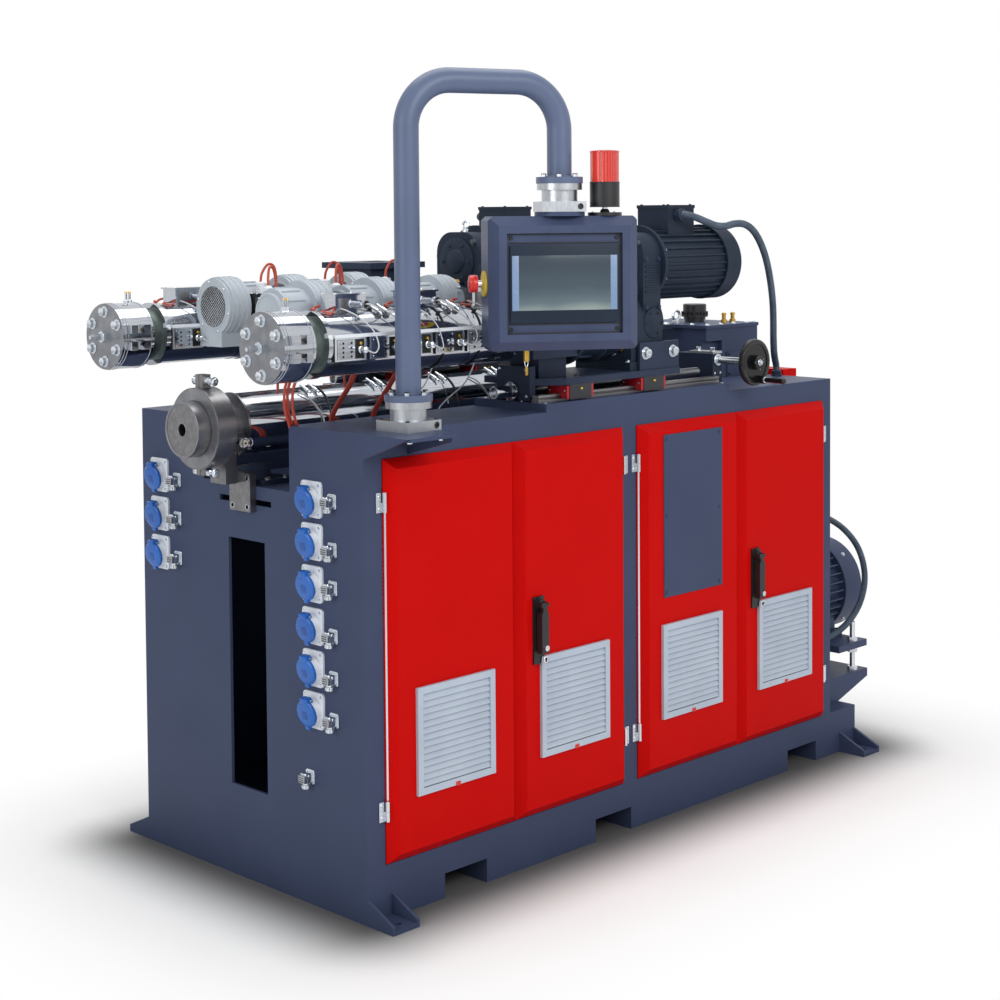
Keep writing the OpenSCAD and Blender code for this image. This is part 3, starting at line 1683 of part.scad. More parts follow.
module unit_screw() {
  root_r = 14;
  tip = [-88, -66];
  x1 = 900;
  pitch = 40;
  land = 5;
  tail_end = 1040;
  r = unit_bore_r - screw_clear;
  color(steel) on_axis() {
    turned([[tip[0], 0], [tip[1], root_r], [x1, root_r], [x1, unit_tail_r],
        [tail_end, unit_tail_r], [tail_end, 0]]);
    flights(tip[1] + land, x1 - land, pitch, land, root_r, r);
    ring_x(x1, gearmotor_x[0] - land, unit_tail_r, r);
  }
}

// Slides
module slide_platforms() {
  box_x = [1326, 1366];
  box_y = [62, 187];
  box_top = 1203;
  clamp = [1332, 1372, 66, 150, 6];
  crank_in = 48;
  screw_in = 26;
  color(slate) for (i = [0, 1]) {
    at_slide(i) span([platform_x[0], -unit_y[0], deck_z],
        [platform_x[1], platform_w - unit_y[0], deck_z + platform_t]);
    at_slide(i) translate([0, -unit_y[0], 0]) difference() {
      union() {
        span([box_x[0], box_y[0], deck_z], [box_x[1], box_y[1], box_top]);
        span([clamp[0], clamp[2], box_top], [clamp[1], clamp[3], box_top + clamp[4]]);
      }
      translate([0, unit_y[0], lead_z])
        rod_x(box_x[0] - cut, box_x[0] + screw_in, lead_r + run_gap);
      translate([crank_at[0], 0, crank_at[1]])
        rod_y(box_y[0] - cut, box_y[0] + crank_in, crank_r + run_gap);
    }
  }
}

module slide_rails() {
  groove = 3;
  groove_z = [1133, 1139];
  ends = [600, 1316];
  z0 = deck_z + platform_t;
  w = guide_w * half;
  color(steel) for (i = [0, 1], s = [-1, 1]) at_unit(i) translate([0, s * rail_off, 0])
    along_x(ends[0], ends[1]) polygon([[-w, z0], [-w, groove_z[0]],
        [-w + groove, groove_z[0] + groove], [-w, groove_z[1]], [-w, rail_top],
        [w, rail_top], [w, groove_z[1]], [w - groove, groove_z[0] + groove],
        [w, groove_z[0]], [w, z0]]);
}

module unit_blocks() {
  w = 35;
  z0 = 1131;
  cap_l = 9;
  cap_in = 2;
  clear = 0.5;
  color(dark) for (x = block_x, s = [-1, 1]) translate([0, s * rail_off, 0]) difference() {
    union() {
      span([x + cap_l, -w, z0], [x + block_l - cap_l, w, block_top]);
      span([x, -w + cap_in, z0 + cap_in], [x + block_l, w - cap_in, block_top - cap_in]);
    }
    span([x - cut, -guide_w * half - clear, z0 - cut],
        [x + block_l + cut, guide_w * half + clear, rail_top + clear]);
  }
}

module unit_carriage() {
  x = [607, 1120];
  w = 109;
  nose = [70, 60];
  nut_x = [600, 620];
  nut_w = 57;
  nut_z = [1130, 1215];
  ring_r = 24;
  ring_l = 20;
  sleeve_r = 14.5;
  sleeve_x = 531;
  plate_x = [962, 1120];
  plate_y = [-105, -97];
  plate_top = 1256;
  bolt_x = [985, 1095];
  bolt_z = 1228;
  bolt_r = 12;
  bolt_h = 10;
  nut_h = 7;
  color(slate) difference() {
    union() {
      translate([0, 0, block_top]) linear_extrude(carriage_t)
        polygon([[x[0], -w + nose[1]], [x[0] + nose[0], -w], [x[1], -w], [x[1], w], [x[0], w]]);
      span([nut_x[0], -nut_w, nut_z[0]], [nut_x[1], nut_w, nut_z[1]]);
      span([plate_x[0], plate_y[0], block_top], [plate_x[1], plate_y[1], plate_top]);
      for (b = bolt_x) translate([b, 0, bolt_z]) {
        rod_y(plate_y[0] - bolt_h, plate_y[0], bolt_r);
        rod_y(plate_y[1], plate_y[1] + nut_h, bolt_r);
      }
      translate([0, 0, lead_z]) {
        rod_x(nut_x[1], nut_x[1] + ring_l, ring_r);
        rod_x(nut_x[0] - ring_l * half, nut_x[0], ring_r);
        rod_x(sleeve_x, nut_x[0], sleeve_r);
      }
    }
    translate([0, 0, lead_z]) rod_x(sleeve_x - cut, nut_x[1] + ring_l + cut, lead_r + run_gap);
  }
}

module unit_lead_screw() {
  ends = [540, 1350];
  color(steel) translate([0, 0, lead_z]) rod_x(ends[0], ends[1], lead_r);
}

module unit_handwheel() {
  y0 = -unit_y[0];
  shaft = [-78, 108];
  wheel_y = [-70, -58];
  hub_r = 20;
  hub_y = [-82, -48];
  rim_in = 50;
  web_y = [-68, -61];
  web_r = 51;
  grip_x = 20;
  grip_z = -48;
  grip_y = [-148, -70];
  grip_r = [8, 6];
  ring_r = 11;
  ring_y = [-84, -70];
  color(dark) translate([crank_at[0], y0, crank_at[1]]) {
    rod_y(shaft[0], shaft[1], crank_r);
    difference() {
      rod_y(wheel_y[0], wheel_y[1], wheel_r);
      rod_y(wheel_y[0] - cut, wheel_y[1] + cut, rim_in);
    }
    rod_y(web_y[0], web_y[1], web_r);
    rod_y(hub_y[0], hub_y[1], hub_r);
    translate([grip_x, 0, grip_z]) {
      translate([0, grip_y[0], 0]) rotate([-90, 0, 0])
        cylinder(h = grip_y[1] - grip_y[0], r1 = grip_r[0], r2 = grip_r[1]);
      rod_y(ring_y[0], ring_y[1], ring_r);
    }
  }
}

// Flexible conduits, swept through hand-set points
function unit_v(v) = v / norm(v);

module swept(points, r, ref) {
  n = len(points);
  m = conduit_sides;
  rings = [for (i = [0 : n - 1]) let (
    t = unit_v(points[min(i + 1, n - 1)] - points[max(i - 1, 0)]),
    a = unit_v(cross(t, ref)),
    b = cross(t, a))
    for (k = [0 : m - 1]) points[i] + r * (a * cos(360 / m * k) + b * sin(360 / m * k))];
  faces = concat(
    [[for (k = [0 : m - 1]) k]],
    [for (i = [0 : n - 2], k = [0 : m - 1])
      [i * m + k, (i + 1) * m + k, (i + 1) * m + (k + 1) % m, i * m + (k + 1) % m]],
    [[for (k = [m - 1 : -1 : 0]) (n - 1) * m + k]]);
  polyhedron(rings, faces, convexity = 4);
}

module unit_conduit() {
  color(dark) swept(unit_conduit_path, conduit_r, conduit_ref);
}

module main_conduit() {
  color(dark) swept(main_conduit_path, conduit_r, conduit_ref);
}

in_frame() base_frame();
in_frame() end_plate();
in_frame() cabinet_frame();
in_frame() control_panel();
in_frame() deck_trough();
in_frame() arm_pedestal();
in_frame() slide_platforms();
in_frame() slide_rails();
in_frame() wall_sockets();
in_frame() hinges();
in_frame() main_barrel();
in_frame() main_shroud();
in_frame() main_clamp();
in_frame() barrel_support();
in_frame() main_gearbox();
in_frame() belt_guard();
in_frame() drive_belts();
in_frame() main_motor();
in_frame() motor_mount();
in_frame() main_conduit();
in_frame() door(0);  // door_1
in_frame() door(1);  // door_2
in_frame() door(2);  // door_3
in_frame() door(3);  // door_4
in_frame() door_fittings(0);  // door_1_fittings
in_frame() door_fittings(1);  // door_2_fittings
in_frame() door_fittings(2);  // door_3_fittings
in_frame() door_fittings(3);  // door_4_fittings
in_frame() spindle(0);  // spindle_2
in_frame() spindle(1);  // spindle_4
in_frame() lever(0);  // lever_2
in_frame() lever(1);  // lever_4
in_frame() arm_tube();
in_frame() hmi_head();
in_frame() hmi_screen();
in_frame() estop_button();
in_frame() beacon();
in_frame() main_screw();
in_frame() gearbox_pulley();
in_frame() motor_pulley();
in_frame() at_unit(0) unit_barrel();  // near_barrel
in_frame() at_unit(1) unit_barrel();  // far_barrel
in_frame() at_unit(0) unit_shroud();  // near_shroud
in_frame() at_unit(1) unit_shroud();  // far_shroud
in_frame() at_unit(0) unit_blowers(0);  // near_blowers
in_frame() at_unit(1) unit_blowers(1);  // far_blowers
in_frame() at_slide(0) unit_gearmotor();  // near_gearmotor
in_frame() at_slide(1) unit_gearmotor();  // far_gearmotor
in_frame() at_slide(0) unit_carriage();  // near_carriage
in_frame() at_slide(1) unit_carriage();  // far_carriage
in_frame() at_unit(0) unit_blocks();  // near_guide_blocks
in_frame() at_unit(1) unit_blocks();  // far_guide_blocks
in_frame() at_unit(0) unit_screw();  // near_screw
in_frame() at_unit(1) unit_screw();  // far_screw
in_frame() at_unit(0) unit_lead_screw();  // near_lead_screw
in_frame() at_unit(1) unit_lead_screw();  // far_lead_screw
in_frame() at_slide(0) unit_handwheel();  // near_handwheel
in_frame() at_slide(1) unit_handwheel();  // far_handwheel
in_frame() at_slide(0) unit_conduit();  // near_conduit
in_frame() at_slide(1) unit_conduit();  // far_conduit
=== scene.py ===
import math
from itertools import product
import bpy
import bmesh
from mathutils import Vector, Matrix


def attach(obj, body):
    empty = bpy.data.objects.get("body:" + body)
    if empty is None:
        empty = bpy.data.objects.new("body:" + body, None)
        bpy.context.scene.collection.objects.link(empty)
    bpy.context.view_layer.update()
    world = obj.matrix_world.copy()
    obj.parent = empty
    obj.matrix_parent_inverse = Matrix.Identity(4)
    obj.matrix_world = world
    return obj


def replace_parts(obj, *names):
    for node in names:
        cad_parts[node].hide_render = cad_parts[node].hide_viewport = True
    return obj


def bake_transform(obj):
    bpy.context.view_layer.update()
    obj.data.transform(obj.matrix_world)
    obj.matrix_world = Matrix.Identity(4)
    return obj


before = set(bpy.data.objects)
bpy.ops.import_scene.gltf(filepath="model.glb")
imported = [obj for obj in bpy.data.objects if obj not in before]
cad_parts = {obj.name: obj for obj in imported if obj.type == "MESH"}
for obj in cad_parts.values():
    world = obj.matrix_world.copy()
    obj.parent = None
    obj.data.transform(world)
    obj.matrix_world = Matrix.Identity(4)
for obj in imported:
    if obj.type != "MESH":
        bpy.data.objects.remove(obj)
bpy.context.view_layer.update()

# All places are in millimetres from the front lower corner of the door side:
# x to the rear, y across to the far side, z up
MID_X, MID_Y = 962, 424
MAIN_Z = 1100
MOTOR_Y, MOTOR_Z = 262, 431
# Small extruders: place across and the side that their blowers are on
UNITS = {"near": (119, 1), "far": (729, -1)}
UNIT_Z, GEAR_Z, SLIDE_Z = 1303, 1456, 1152
BLOWER_OUT, BLOWER_Z, BLOWER_PITCH = 133, 1370, 205
# Louvre plates and terminal boxes on their shrouds
LOUVRE_X = [-42 + 102 * i for i in range(6)]
TERMINAL_X = (50, 270, 480)
WHEEL_X, WHEEL_Z = 1346, 1186
ARM_X, ARM_Y, ARM_REACH = 125, -15, 393
ARM_TURN, HMI_TURN = math.radians(-17.8), math.radians(-34)
HMI_AT = Vector((ARM_X + ARM_REACH * math.cos(ARM_TURN), ARM_Y + ARM_REACH * math.sin(ARM_TURN)))
HMI_R = Vector((math.cos(HMI_TURN), math.sin(HMI_TURN)))
HMI_B = Vector((-HMI_R.y, HMI_R.x))
# Hinge pins, and the side of each that its door is on
HINGES = ((54.4, 1), (871.2, -1), (927.4, 1), (1749.3, -1))
CONNECTORS = [(105, 947), (105, 837), (105, 750), (105, 640), (105, 543), (105, 447), (193, 300),
              (698, 939), (698, 843), (698, 744)]
X, Y, Z = (1, 0, 0), (0, 1, 0), (0, 0, 1)
NX, NY, NZ = (-1, 0, 0), (0, -1, 0), (0, 0, -1)


def M(x, y, z):
    """Millimetres from that corner, to metres in the shared frame."""
    return Vector(((x - MID_X) / 1000, (y - MID_Y) / 1000, z / 1000))


def mm(v):
    return Vector((v.x * 1000 + MID_X, v.y * 1000 + MID_Y, v.z * 1000))


def in_hmi(c):
    """Place in the operator panel's own axes: along its face, behind it and up."""
    d = Vector((c.x, c.y)) - HMI_AT
    return Vector((d.dot(HMI_R), d.dot(HMI_B), c.z))


def at_hmi(p):
    q = HMI_AT + HMI_R * p[0] + HMI_B * p[1]
    return M(q.x, q.y, p[2])


def radius(c, y, z):
    return math.hypot(c.y - y, c.z - z)


def spots(*places):
    """All combinations of the places given along x, y and z."""
    return product(*[p if isinstance(p, (tuple, list)) else (p,) for p in places])


def wheel(at, axis, r, n, start=0.0):
    """n points on a circle about one of the main axes, the first at start degrees."""
    i, j = [k for k in range(3) if not axis[k]]
    points = []
    for q in range(n):
        t = math.radians(start + 360 * q / n)
        p = list(at)
        p[i] += r * math.cos(t)
        p[j] += r * math.sin(t)
        points.append(tuple(p))
    return points


# Camera: the photograph's own view, with its focal length in pixels of a picture 1000 wide
FOCAL_PX, PICTURE_PX, SENSOR = 1844.53, 1000, 36
CAMERA_AT = (-2670.5, -3072.5, 1594.6)
YAW, PITCH, ROLL = 0.790802, -0.047272, -0.0074078


def add_camera():
    ahead = Vector((math.sin(YAW) * math.cos(PITCH), math.cos(YAW) * math.cos(PITCH), math.sin(PITCH)))
    right = Vector((math.cos(YAW), -math.sin(YAW), 0))
    up = right.cross(ahead)
    r = right * math.cos(ROLL) + up * math.sin(ROLL)
    u = -right * math.sin(ROLL) + up * math.cos(ROLL)
    cam = bpy.data.cameras.new("camera")
    obj = bpy.data.objects.new("camera", cam)
    bpy.context.scene.collection.objects.link(obj)
    m = Matrix((r, u, -ahead)).transposed().to_4x4()
    m.translation = M(*CAMERA_AT)
    obj.matrix_world = m
    cam.sensor_width = SENSOR
    cam.lens = FOCAL_PX * SENSOR / PICTURE_PX
    cam.shift_y = -0.2
    cam.clip_end = 60
    bpy.context.scene.camera = obj


add_camera()
bpy.context.scene.view_settings.view_transform = "Standard"


# Materials
def rgb(h):
    c = [int(h[i:i + 2], 16) / 255 for i in (1, 3, 5)]
    return tuple(v / 12.92 if v <= 0.04045 else ((v + 0.055) / 1.055) ** 2.4 for v in c) + (1,)


class Mat:
    """A principled material with short calls for its noise, colours, gloss and bumps."""

    def __init__(self, name, colour, rough=0.5, metal=0.0):
        self.m = bpy.data.materials.new(name)
        self.m.use_nodes = True
        self.t = self.m.node_tree
        self.b = self.t.nodes["Principled BSDF"]
        self.fill(self.b, {"Base Color": rgb(colour), "Roughness": rough, "Metallic": metal})
        self.co = self.node("ShaderNodeTexCoord").outputs["Object"]

    def fill(self, node, values):
        """Set a node's inputs; a value that is another node's output is linked."""
        for name, v in values.items():
            if isinstance(v, bpy.types.NodeSocket):
                self.t.links.new(v, node.inputs[name])
            else:
                node.inputs[name].default_value = v
        return node

    def node(self, kind, values=None, **settings):
        n = self.t.nodes.new(kind)
        for k, v in settings.items():
            setattr(n, k, v)
        return self.fill(n, values or {})

    def noise(self, scale, detail=2.0, rough=0.5, stretch=None):
        n = self.node("ShaderNodeTexNoise", {"Scale": scale, "Detail": detail, "Roughness": rough})
        co = self.co
        if stretch:
            co = self.node("ShaderNodeMapping", {"Scale": stretch, "Vector": co}).outputs["Vector"]
        return self.fill(n, {"Vector": co}).outputs["Fac"]

    def wave(self, scale, **settings):
        return self.node("ShaderNodeTexWave", {"Scale": scale, "Vector": self.co}, wave_type="BANDS",
                         bands_direction="X", **settings).outputs["Fac"]

    def colour(self, fac, stops):
        r = self.node("ShaderNodeValToRGB")
        el = r.color_ramp.elements
        while len(el) < len(stops):
            el.new(0.5)
        for e, (p, c) in zip(el, stops):
            e.position = p
            e.color = rgb(c)
        self.fill(r, {"Fac": fac})
        self.fill(self.b, {"Base Color": r.outputs["Color"]})

    def roughness(self, fac, lo, hi):
        r = self.node("ShaderNodeMapRange", {"To Min": lo, "To Max": hi, "Value": fac})
        self.fill(self.b, {"Roughness": r.outputs["Result"]})

    def bump(self, fac, strength, distance):
        b = self.node("ShaderNodeBump", {"Strength": strength, "Distance": distance, "Height": fac})
        self.fill(self.b, {"Normal": b.outputs["Normal"]})


def paint(name, base, dark, light, rough=0.42, grain=900, strength=0.12, shine=0.14):
    """Powder coat: faint mottling, orange-peel bump, small changes of gloss."""
    m = Mat(name, base, rough)
    m.b.inputs["Specular IOR Level"].default_value = shine
    m.colour(m.noise(6, 4, 0.6), [(0.3, dark), (0.5, base), (0.72, light)])
    m.roughness(m.noise(24, 3, 0.6), rough - 0.06, rough + 0.08)
    m.bump(m.noise(grain, 2, 0.6), strength, 0.0004)
    return m.m


def metal(name, base, dark, light, rough, streak=(1, 60, 60), scale=30, spread=0.08):
    """Drawn or turned metal: fine streaks along one axis in colour and gloss."""
    m = Mat(name, base, rough, 1.0)
    f = m.noise(scale, 3, 0.6, streak)
    m.colour(f, [(0.3, dark), (0.5, base), (0.7, light)])
    m.roughness(m.noise(scale * 1.7, 2, 0.5, streak), max(0.03, rough - spread), rough + spread)
    m.bump(f, 0.06, 0.0003)
    return m.m


def plastic(name, base, dark, light, rough=0.45, grain=700, strength=0.15):
    m = Mat(name, base, rough)
    m.colour(m.noise(9, 3, 0.5), [(0.25, dark), (0.5, base), (0.75, light)])
    m.roughness(m.noise(60, 2, 0.5), rough - 0.05, rough + 0.07)
    m.bump(m.noise(grain, 2, 0.5), strength, 0.0003)
    return m.m


def lens():
    """Red signal lens with fine ribs, painted highlights on the ribs and a faint glow."""
    m = Mat("red_lens", "#c9271d", 0.18)
    m.fill(m.b, {"Transmission Weight": 0.35, "Coat Weight": 0.4, "Emission Color": rgb("#e0281c"),
                 "Emission Strength": 0.12})
    ribs = m.wave(60)
    # Lighter stripes on the ribs are painted highlights; the ribs' relief is the bump
    m.colour(ribs, [(0.2, "#b81a12"), (0.8, "#f04a38")])
    m.bump(ribs, 0.5, 0.002)
    return m.m


def thread():
    """Rolled thread: tight rings along the screw, as a bump and as painted highlight on the crests and painted shade
    in the roots.
    """
    m = Mat("rolled_thread", "#a9acb0", 0.28, 1.0)
    rings = m.wave(80, wave_profile="TRI")
    # Light crests and dark roots in the colour: painted highlight and painted shade
    m.colour(rings, [(0.15, "#707277"), (0.55, "#d5d8dc")])
    m.bump(rings, 0.9, 0.003)
    return m.m


def display(low=1.372, high=1.494):
    """Unlit display: dark at the top, with a soft pale glow low down that is painted light in its colour, between
    two heights in metres.
    """
    m = Mat("display", "#46565e", 0.14)
    sep = m.node("ShaderNodeSeparateXYZ", {"Vector": m.co})
    height = m.node("ShaderNodeMapRange", {"From Min": low, "From Max": high, "Value": sep.outputs["Z"]})
    # Pale low down, dark higher up, with noise: painted light in the colour
    painted_glow = m.node("ShaderNodeMath", {1: 0.35}, operation="MULTIPLY_ADD")
    m.fill(painted_glow, {0: m.noise(9, 1), 2: height.outputs["Result"]})
    m.colour(painted_glow.outputs[0], [(0.1, "#94a19c"), (0.3, "#62737a"), (0.6, "#3f4f5a"), (1.0, "#2f3e4b")])
    return m.m


def corrugated():
    m = Mat("conduit", "#3d4c5c", 0.5)
    m.colour(m.noise(30, 3), [(0.3, "#344252"), (0.7, "#475869")])
    m.bump(m.noise(400, 2), 0.3, 0.001)
    return m.m


MAT = {
    "slate": paint("slate_paint", "#3f4964", "#3d4762", "#414b67"),
    # Lighter copy of the slate paint for the arm: the lighter colour is a painted highlight, the higher gloss is
    # real
    "arm_highlit_paint": paint("arm_highlit_paint", "#5a6784", "#56627f", "#5e6b89", 0.36, 500, 0.3, 0.4),
    "hammer": paint("hammered_paint", "#424c68", "#3c4661", "#485370", 0.4, 300, 0.55, 0.2),
    "slate_dark": paint("slate_dark", "#2e384c", "#2a3346", "#323c51"),
    # Darker copy of the slate paint: painted shade of the gearmotor fins, also on the thrust housings and gearmotor
    # fittings
    "slate_painted_shade": paint("slate_painted_shade", "#273140", "#232c3a", "#2c3747", 0.5, 420, 0.3),
    "bezel": paint("screen_bezel", "#26303f", "#232c3a", "#293444", 0.3, 1200, 0.04),
    "red": paint("red_paint", "#c60b08", "#c40b08", "#c80c09", 0.42, 1000, 0.08, 0.04),
    "grey_plastic": plastic("grille_plastic", "#b3bfce", "#acb8c7", "#bac6d4", 0.5),
    "white_plastic": plastic("white_plastic", "#e4e9f0", "#dde2ea", "#ebeff5", 0.35),
    "blue_plastic": plastic("blue_plastic", "#1c5fb4", "#1957a8", "#2068c0", 0.28),
    "cream_plastic": plastic("cream_plastic", "#b9ad98", "#ab9f8a", "#c4b9a4", 0.5),
    "blue_dark": plastic("blue_dark", "#164f9a", "#134689", "#1957a8", 0.4),
    "black_plastic": plastic("black_plastic", "#17181b", "#121316", "#1e2024", 0.38),
    "black_gloss": plastic("black_gloss", "#101114", "#0d0e10", "#15161a", 0.16, 500, 0.05),
    "black_dull": plastic("black_dull", "#24262b", "#1c1e22", "#2c2f35", 0.6),
    "rubber": plastic("rubber", "#3a4655", "#323d4b", "#42505f", 0.55, 500, 0.3),
    "red_rubber": plastic("red_silicone", "#b84634", "#ab3d2c", "#c4503d", 0.45, 300, 0.1),
    "red_plastic": plastic("red_plastic", "#d3271b", "#c92218", "#da2f22", 0.3),
    "red_cap": plastic("red_cap", "#a81a26", "#9b1621", "#b4202d", 0.35),
    "yellow": plastic("yellow_plastic", "#e6c53c", "#dbb930", "#eccd4c", 0.4),
    "polished": metal("polished_steel", "#b9bdc4", "#adb1b9", "#c6c9cf", 0.09, (1, 24, 24), 14, 0.05),
    "machined": metal("machined_steel", "#8a898b", "#7f7e80", "#969597", 0.34, (90, 3, 3), 22, 0.06),
    "turned": metal("turned_steel", "#919398", "#87898e", "#9c9ea3", 0.3, (70, 2, 2), 18, 0.05),
    "zinc": metal("zinc_plate", "#d6dce2", "#c3cad1", "#e6eaef", 0.24, (8, 8, 8), 60, 0.09),
    "alu": metal("milled_aluminium", "#b4b8bd", "#a8acb1", "#c0c4c9", 0.32, (40, 40, 4), 14, 0.08),
    "cast_alu": paint("cast_grey", "#b6bfc8", "#aeb7c0", "#bfc8d0", 0.4, 300, 0.18, 0.3),
    "lead": plastic("grey_lead", "#c3c6ca", "#b9bcc0", "#cccfd3", 0.45, 200, 0.05),
    "neck": metal("oxidised_neck", "#5a6460", "#4a5450", "#69736f", 0.42, (30, 3, 3), 20, 0.1),
    "iron": metal("cast_iron", "#55585c", "#494c50", "#62656a", 0.45, (10, 10, 10), 40, 0.1),
    "brass": metal("brass", "#c9a24a", "#b48e3a", "#dab660", 0.28, (10, 10, 10), 50, 0.08),
    # Near-black that stands for the shade inside holes, slots and openings: painted shade
    "painted_shade_black": plastic("painted_shade_black", "#0d0e10", "#0a0b0c", "#121316", 0.8),
    "lens": lens(),
    "thread": thread(),
    "display": display(),
    "conduit": corrugated(),
    "strip": plastic("pale_strip", "#7b93b5", "#748cae", "#839bbc", 0.25, 200, 0.03),
}


# Colouring the CAD nodes: rules pick faces by their centre c and their normal n
PLAIN = {
    "slate": ("base_frame", "end_plate", "cabinet_frame", "deck_trough", "main_motor"),
    # The gearmotors take the darker copy of slate as painted fin shade
    "slate_painted_shade": ("near_gearmotor", "far_gearmotor"),
    "red": ("belt_guard",),
    "machined": ("slide_rails",),
    "zinc": ("hinges",),
    "turned": ("main_screw", "near_screw", "far_screw"),
    "thread": ("near_lead_screw", "far_lead_screw"),
    "iron": ("gearbox_pulley", "motor_pulley"),
    "black_dull": ("drive_belts",),
    "black_plastic": ("spindle_2", "spindle_4", "hmi_screen"),
    "conduit": ("main_conduit", "near_conduit", "far_conduit"),
}


def dress(node, base, *rules):
    """Give a node a base material, then others to the faces that a rule accepts; the last one wins."""
    me = bpy.data.objects[node].data
    me.materials.clear()
    for name in [base] + [r[0] for r in rules]:
        me.materials.append(MAT[name])
    for p in me.polygons:
        c = mm(p.center)
        p.material_index = max([0] + [i + 1 for i, (_, test) in enumerate(rules) if test(c, p.normal)])


def soften(o, angle):
    """Smooth shading that keeps the edges sharper than an angle in degrees."""
    for p in o.data.polygons:
        p.use_smooth = True
    o.modifiers.new("edges", "EDGE_SPLIT").split_angle = math.radians(angle)


def is_blower_box(c, y, s):
    """Terminal box of a blower motor: outside of it, 70 to 122 mm along from its inlet."""
    along = (88 - c.x if s > 0 else c.x - 40) % BLOWER_PITCH
    return 47.5 < s * (c.y - y) - BLOWER_OUT < 84 and 1338 < c.z < 1430 and 69 < along < 123


def dress_cabinet():
    dress("arm_pedestal", "slate", ("alu", lambda c, n: c.z > 1107.5))
    dress("slide_platforms", "slate",
          ("slate_dark", lambda c, n: c.x > 1322),
          ("alu", lambda c, n: c.z > 1203.5))
    dress("control_panel", "zinc",
          ("grey_plastic", lambda c, n: c.y < 414 and c.z > 600),
          ("black_dull", lambda c, n: c.y < 409 and c.z < 560),
          ("grey_plastic", lambda c, n: 366 < c.y < 417.9
           and (545 < c.z < 595 or 400 < c.z < 446 or 228 < c.z < 274)))
    for i in (1, 2, 3, 4):
        dress("door_%d" % i, "red",
              ("zinc", lambda c, n: c.y < -4 and any(math.hypot(c.x - x, c.y + 10) < 6 for x, s in HINGES)))
        dress("door_%d_fittings" % i, "grey_plastic",
              ("black_plastic", lambda c, n: 503 < c.z < 669 and (512 < c.x < 550 or 1380 < c.x < 1418)),
              ("slate", lambda c, n: 589 < c.z and 1000 < c.x < 1260))
    for i in (2, 4):
        dress("lever_%d" % i, "black_plastic", ("zinc", lambda c, n: c.y < -52.1 and c.z < 560))
    dress("wall_sockets", "white_plastic",
          ("blue_plastic", lambda c, n: c.x < -13),
          ("machined", lambda c, n: any(abs(c.y - y) < 16 and z - 44 < c.z < z + 16 for y, z in CONNECTORS)))
    # The arm's lighter paint is a painted highlight
    dress("arm_tube", "arm_highlit_paint",
          ("zinc", lambda c, n: 1188.5 < c.z < 1195 and math.hypot(c.x - ARM_X, c.y - ARM_Y) > 34
           or 1677.5 < c.z < 1684 and math.hypot(c.x - 499, c.y + 135) > 34))
    dress("hmi_head", "hammer",
          ("alu", lambda c, n: c.z > 1596.5),
          ("yellow", lambda c, n: in_hmi(c).x < -178.2),
          ("brass", lambda c, n: c.z < 1273.5))
    dress("estop_button", "red_plastic", ("zinc", lambda c, n: -197.5 < in_hmi(c).x))
    dress("beacon", "black_plastic",
          ("lens", lambda c, n: c.z > 1665.5),
          ("zinc", lambda c, n: 1594.5 < c.z < 1606.5))


def dress_main():
    dress("main_barrel", "machined",
          ("slate_dark", lambda c, n: c.x > 1379),
          ("zinc", lambda c, n: -92 < c.x < -60 and c.y < 390 and radius(c, MID_Y, MAIN_Z) > 56))
    dress("main_shroud", "polished", ("turned", lambda c, n: c.x < -40.5))
    dress("main_clamp", "machined",
          ("zinc", lambda c, n: abs(c.y - MID_Y) > 14.5 and radius(c, MID_Y, MAIN_Z) > 96))
    dress("barrel_support", "slate_dark", ("machined", lambda c, n: c.x < 1))
    dress("main_gearbox", "slate",
          ("black_plastic", lambda c, n: c.z > 1261.5),
          ("brass", lambda c, n: c.z > 1261.5 and c.y < 345))
    dress("motor_mount", "slate",
          ("zinc", lambda c, n: math.hypot(c.x - 2024, c.y - 76) < 16
           and c.z > 198.5 and not 266.9 < c.z < 287.1))


def dress_unit(k, y, s):
    dress(k + "_barrel", "polished",
          ("turned", lambda c, n: n.x < -0.9 and -190 < c.x < -180),
          ("zinc", lambda c, n: c.x < -184.5),
          ("neck", lambda c, n: -96.5 < c.x < -50),
          ("turned", lambda c, n: -50 < c.x < 599),
          ("slate_dark", lambda c, n: c.x > 599 or (c.x > 575 and c.z > 1400)),
          ("cream_plastic", lambda c, n: (c.y - y) > 79.5 and c.x < 0))
    dress(k + "_shroud", "polished",
          # Louvre openings: faces painted near-black as painted shade
          ("painted_shade_black", lambda c, n: c.y < y - 60 and 1268 < c.z < 1320 and c.x > -42 and n.y > -0.5),
          ("zinc", lambda c, n: c.y < y - 77 and 1268 < c.z < 1320),
          ("white_plastic", lambda c, n: c.y < y - 40 and 1319.2 < c.z < 1327.5),
          ("polished", lambda c, n: c.z > 1378.5))
    dress(k + "_blowers", "cast_alu",
          ("black_plastic", lambda c, n: is_blower_box(c, y, s)),
          ("white_plastic", lambda c, n: is_blower_box(c, y, s) and c.z > 1401.5))
    dress(k + "_carriage", "slate_dark",
          ("polished", lambda c, n: radius(c, y, SLIDE_Z) < 25 and (c.x < 599.9 or 620.1 < c.x < 641)),
          ("zinc", lambda c, n: s * (c.y - y) < -105.2 and c.z > 1200))
    dress(k + "_guide_blocks", "black_dull",
          ("red_cap", lambda c, n: any(a < c.x < b for a, b in
                                       ((679, 688.8), (769.2, 779), (962, 971.8), (1052.2, 1062)))))
    dress(k + "_handwheel", "black_gloss",
          ("zinc", lambda c, n: s * (c.y - y) > -176.9 and math.hypot(c.x - WHEEL_X, c.z - WHEEL_Z) < 10.5),
          ("zinc", lambda c, n: s * (c.y - y) < -200.5 and math.hypot(c.x - WHEEL_X, c.z - WHEEL_Z) < 10))


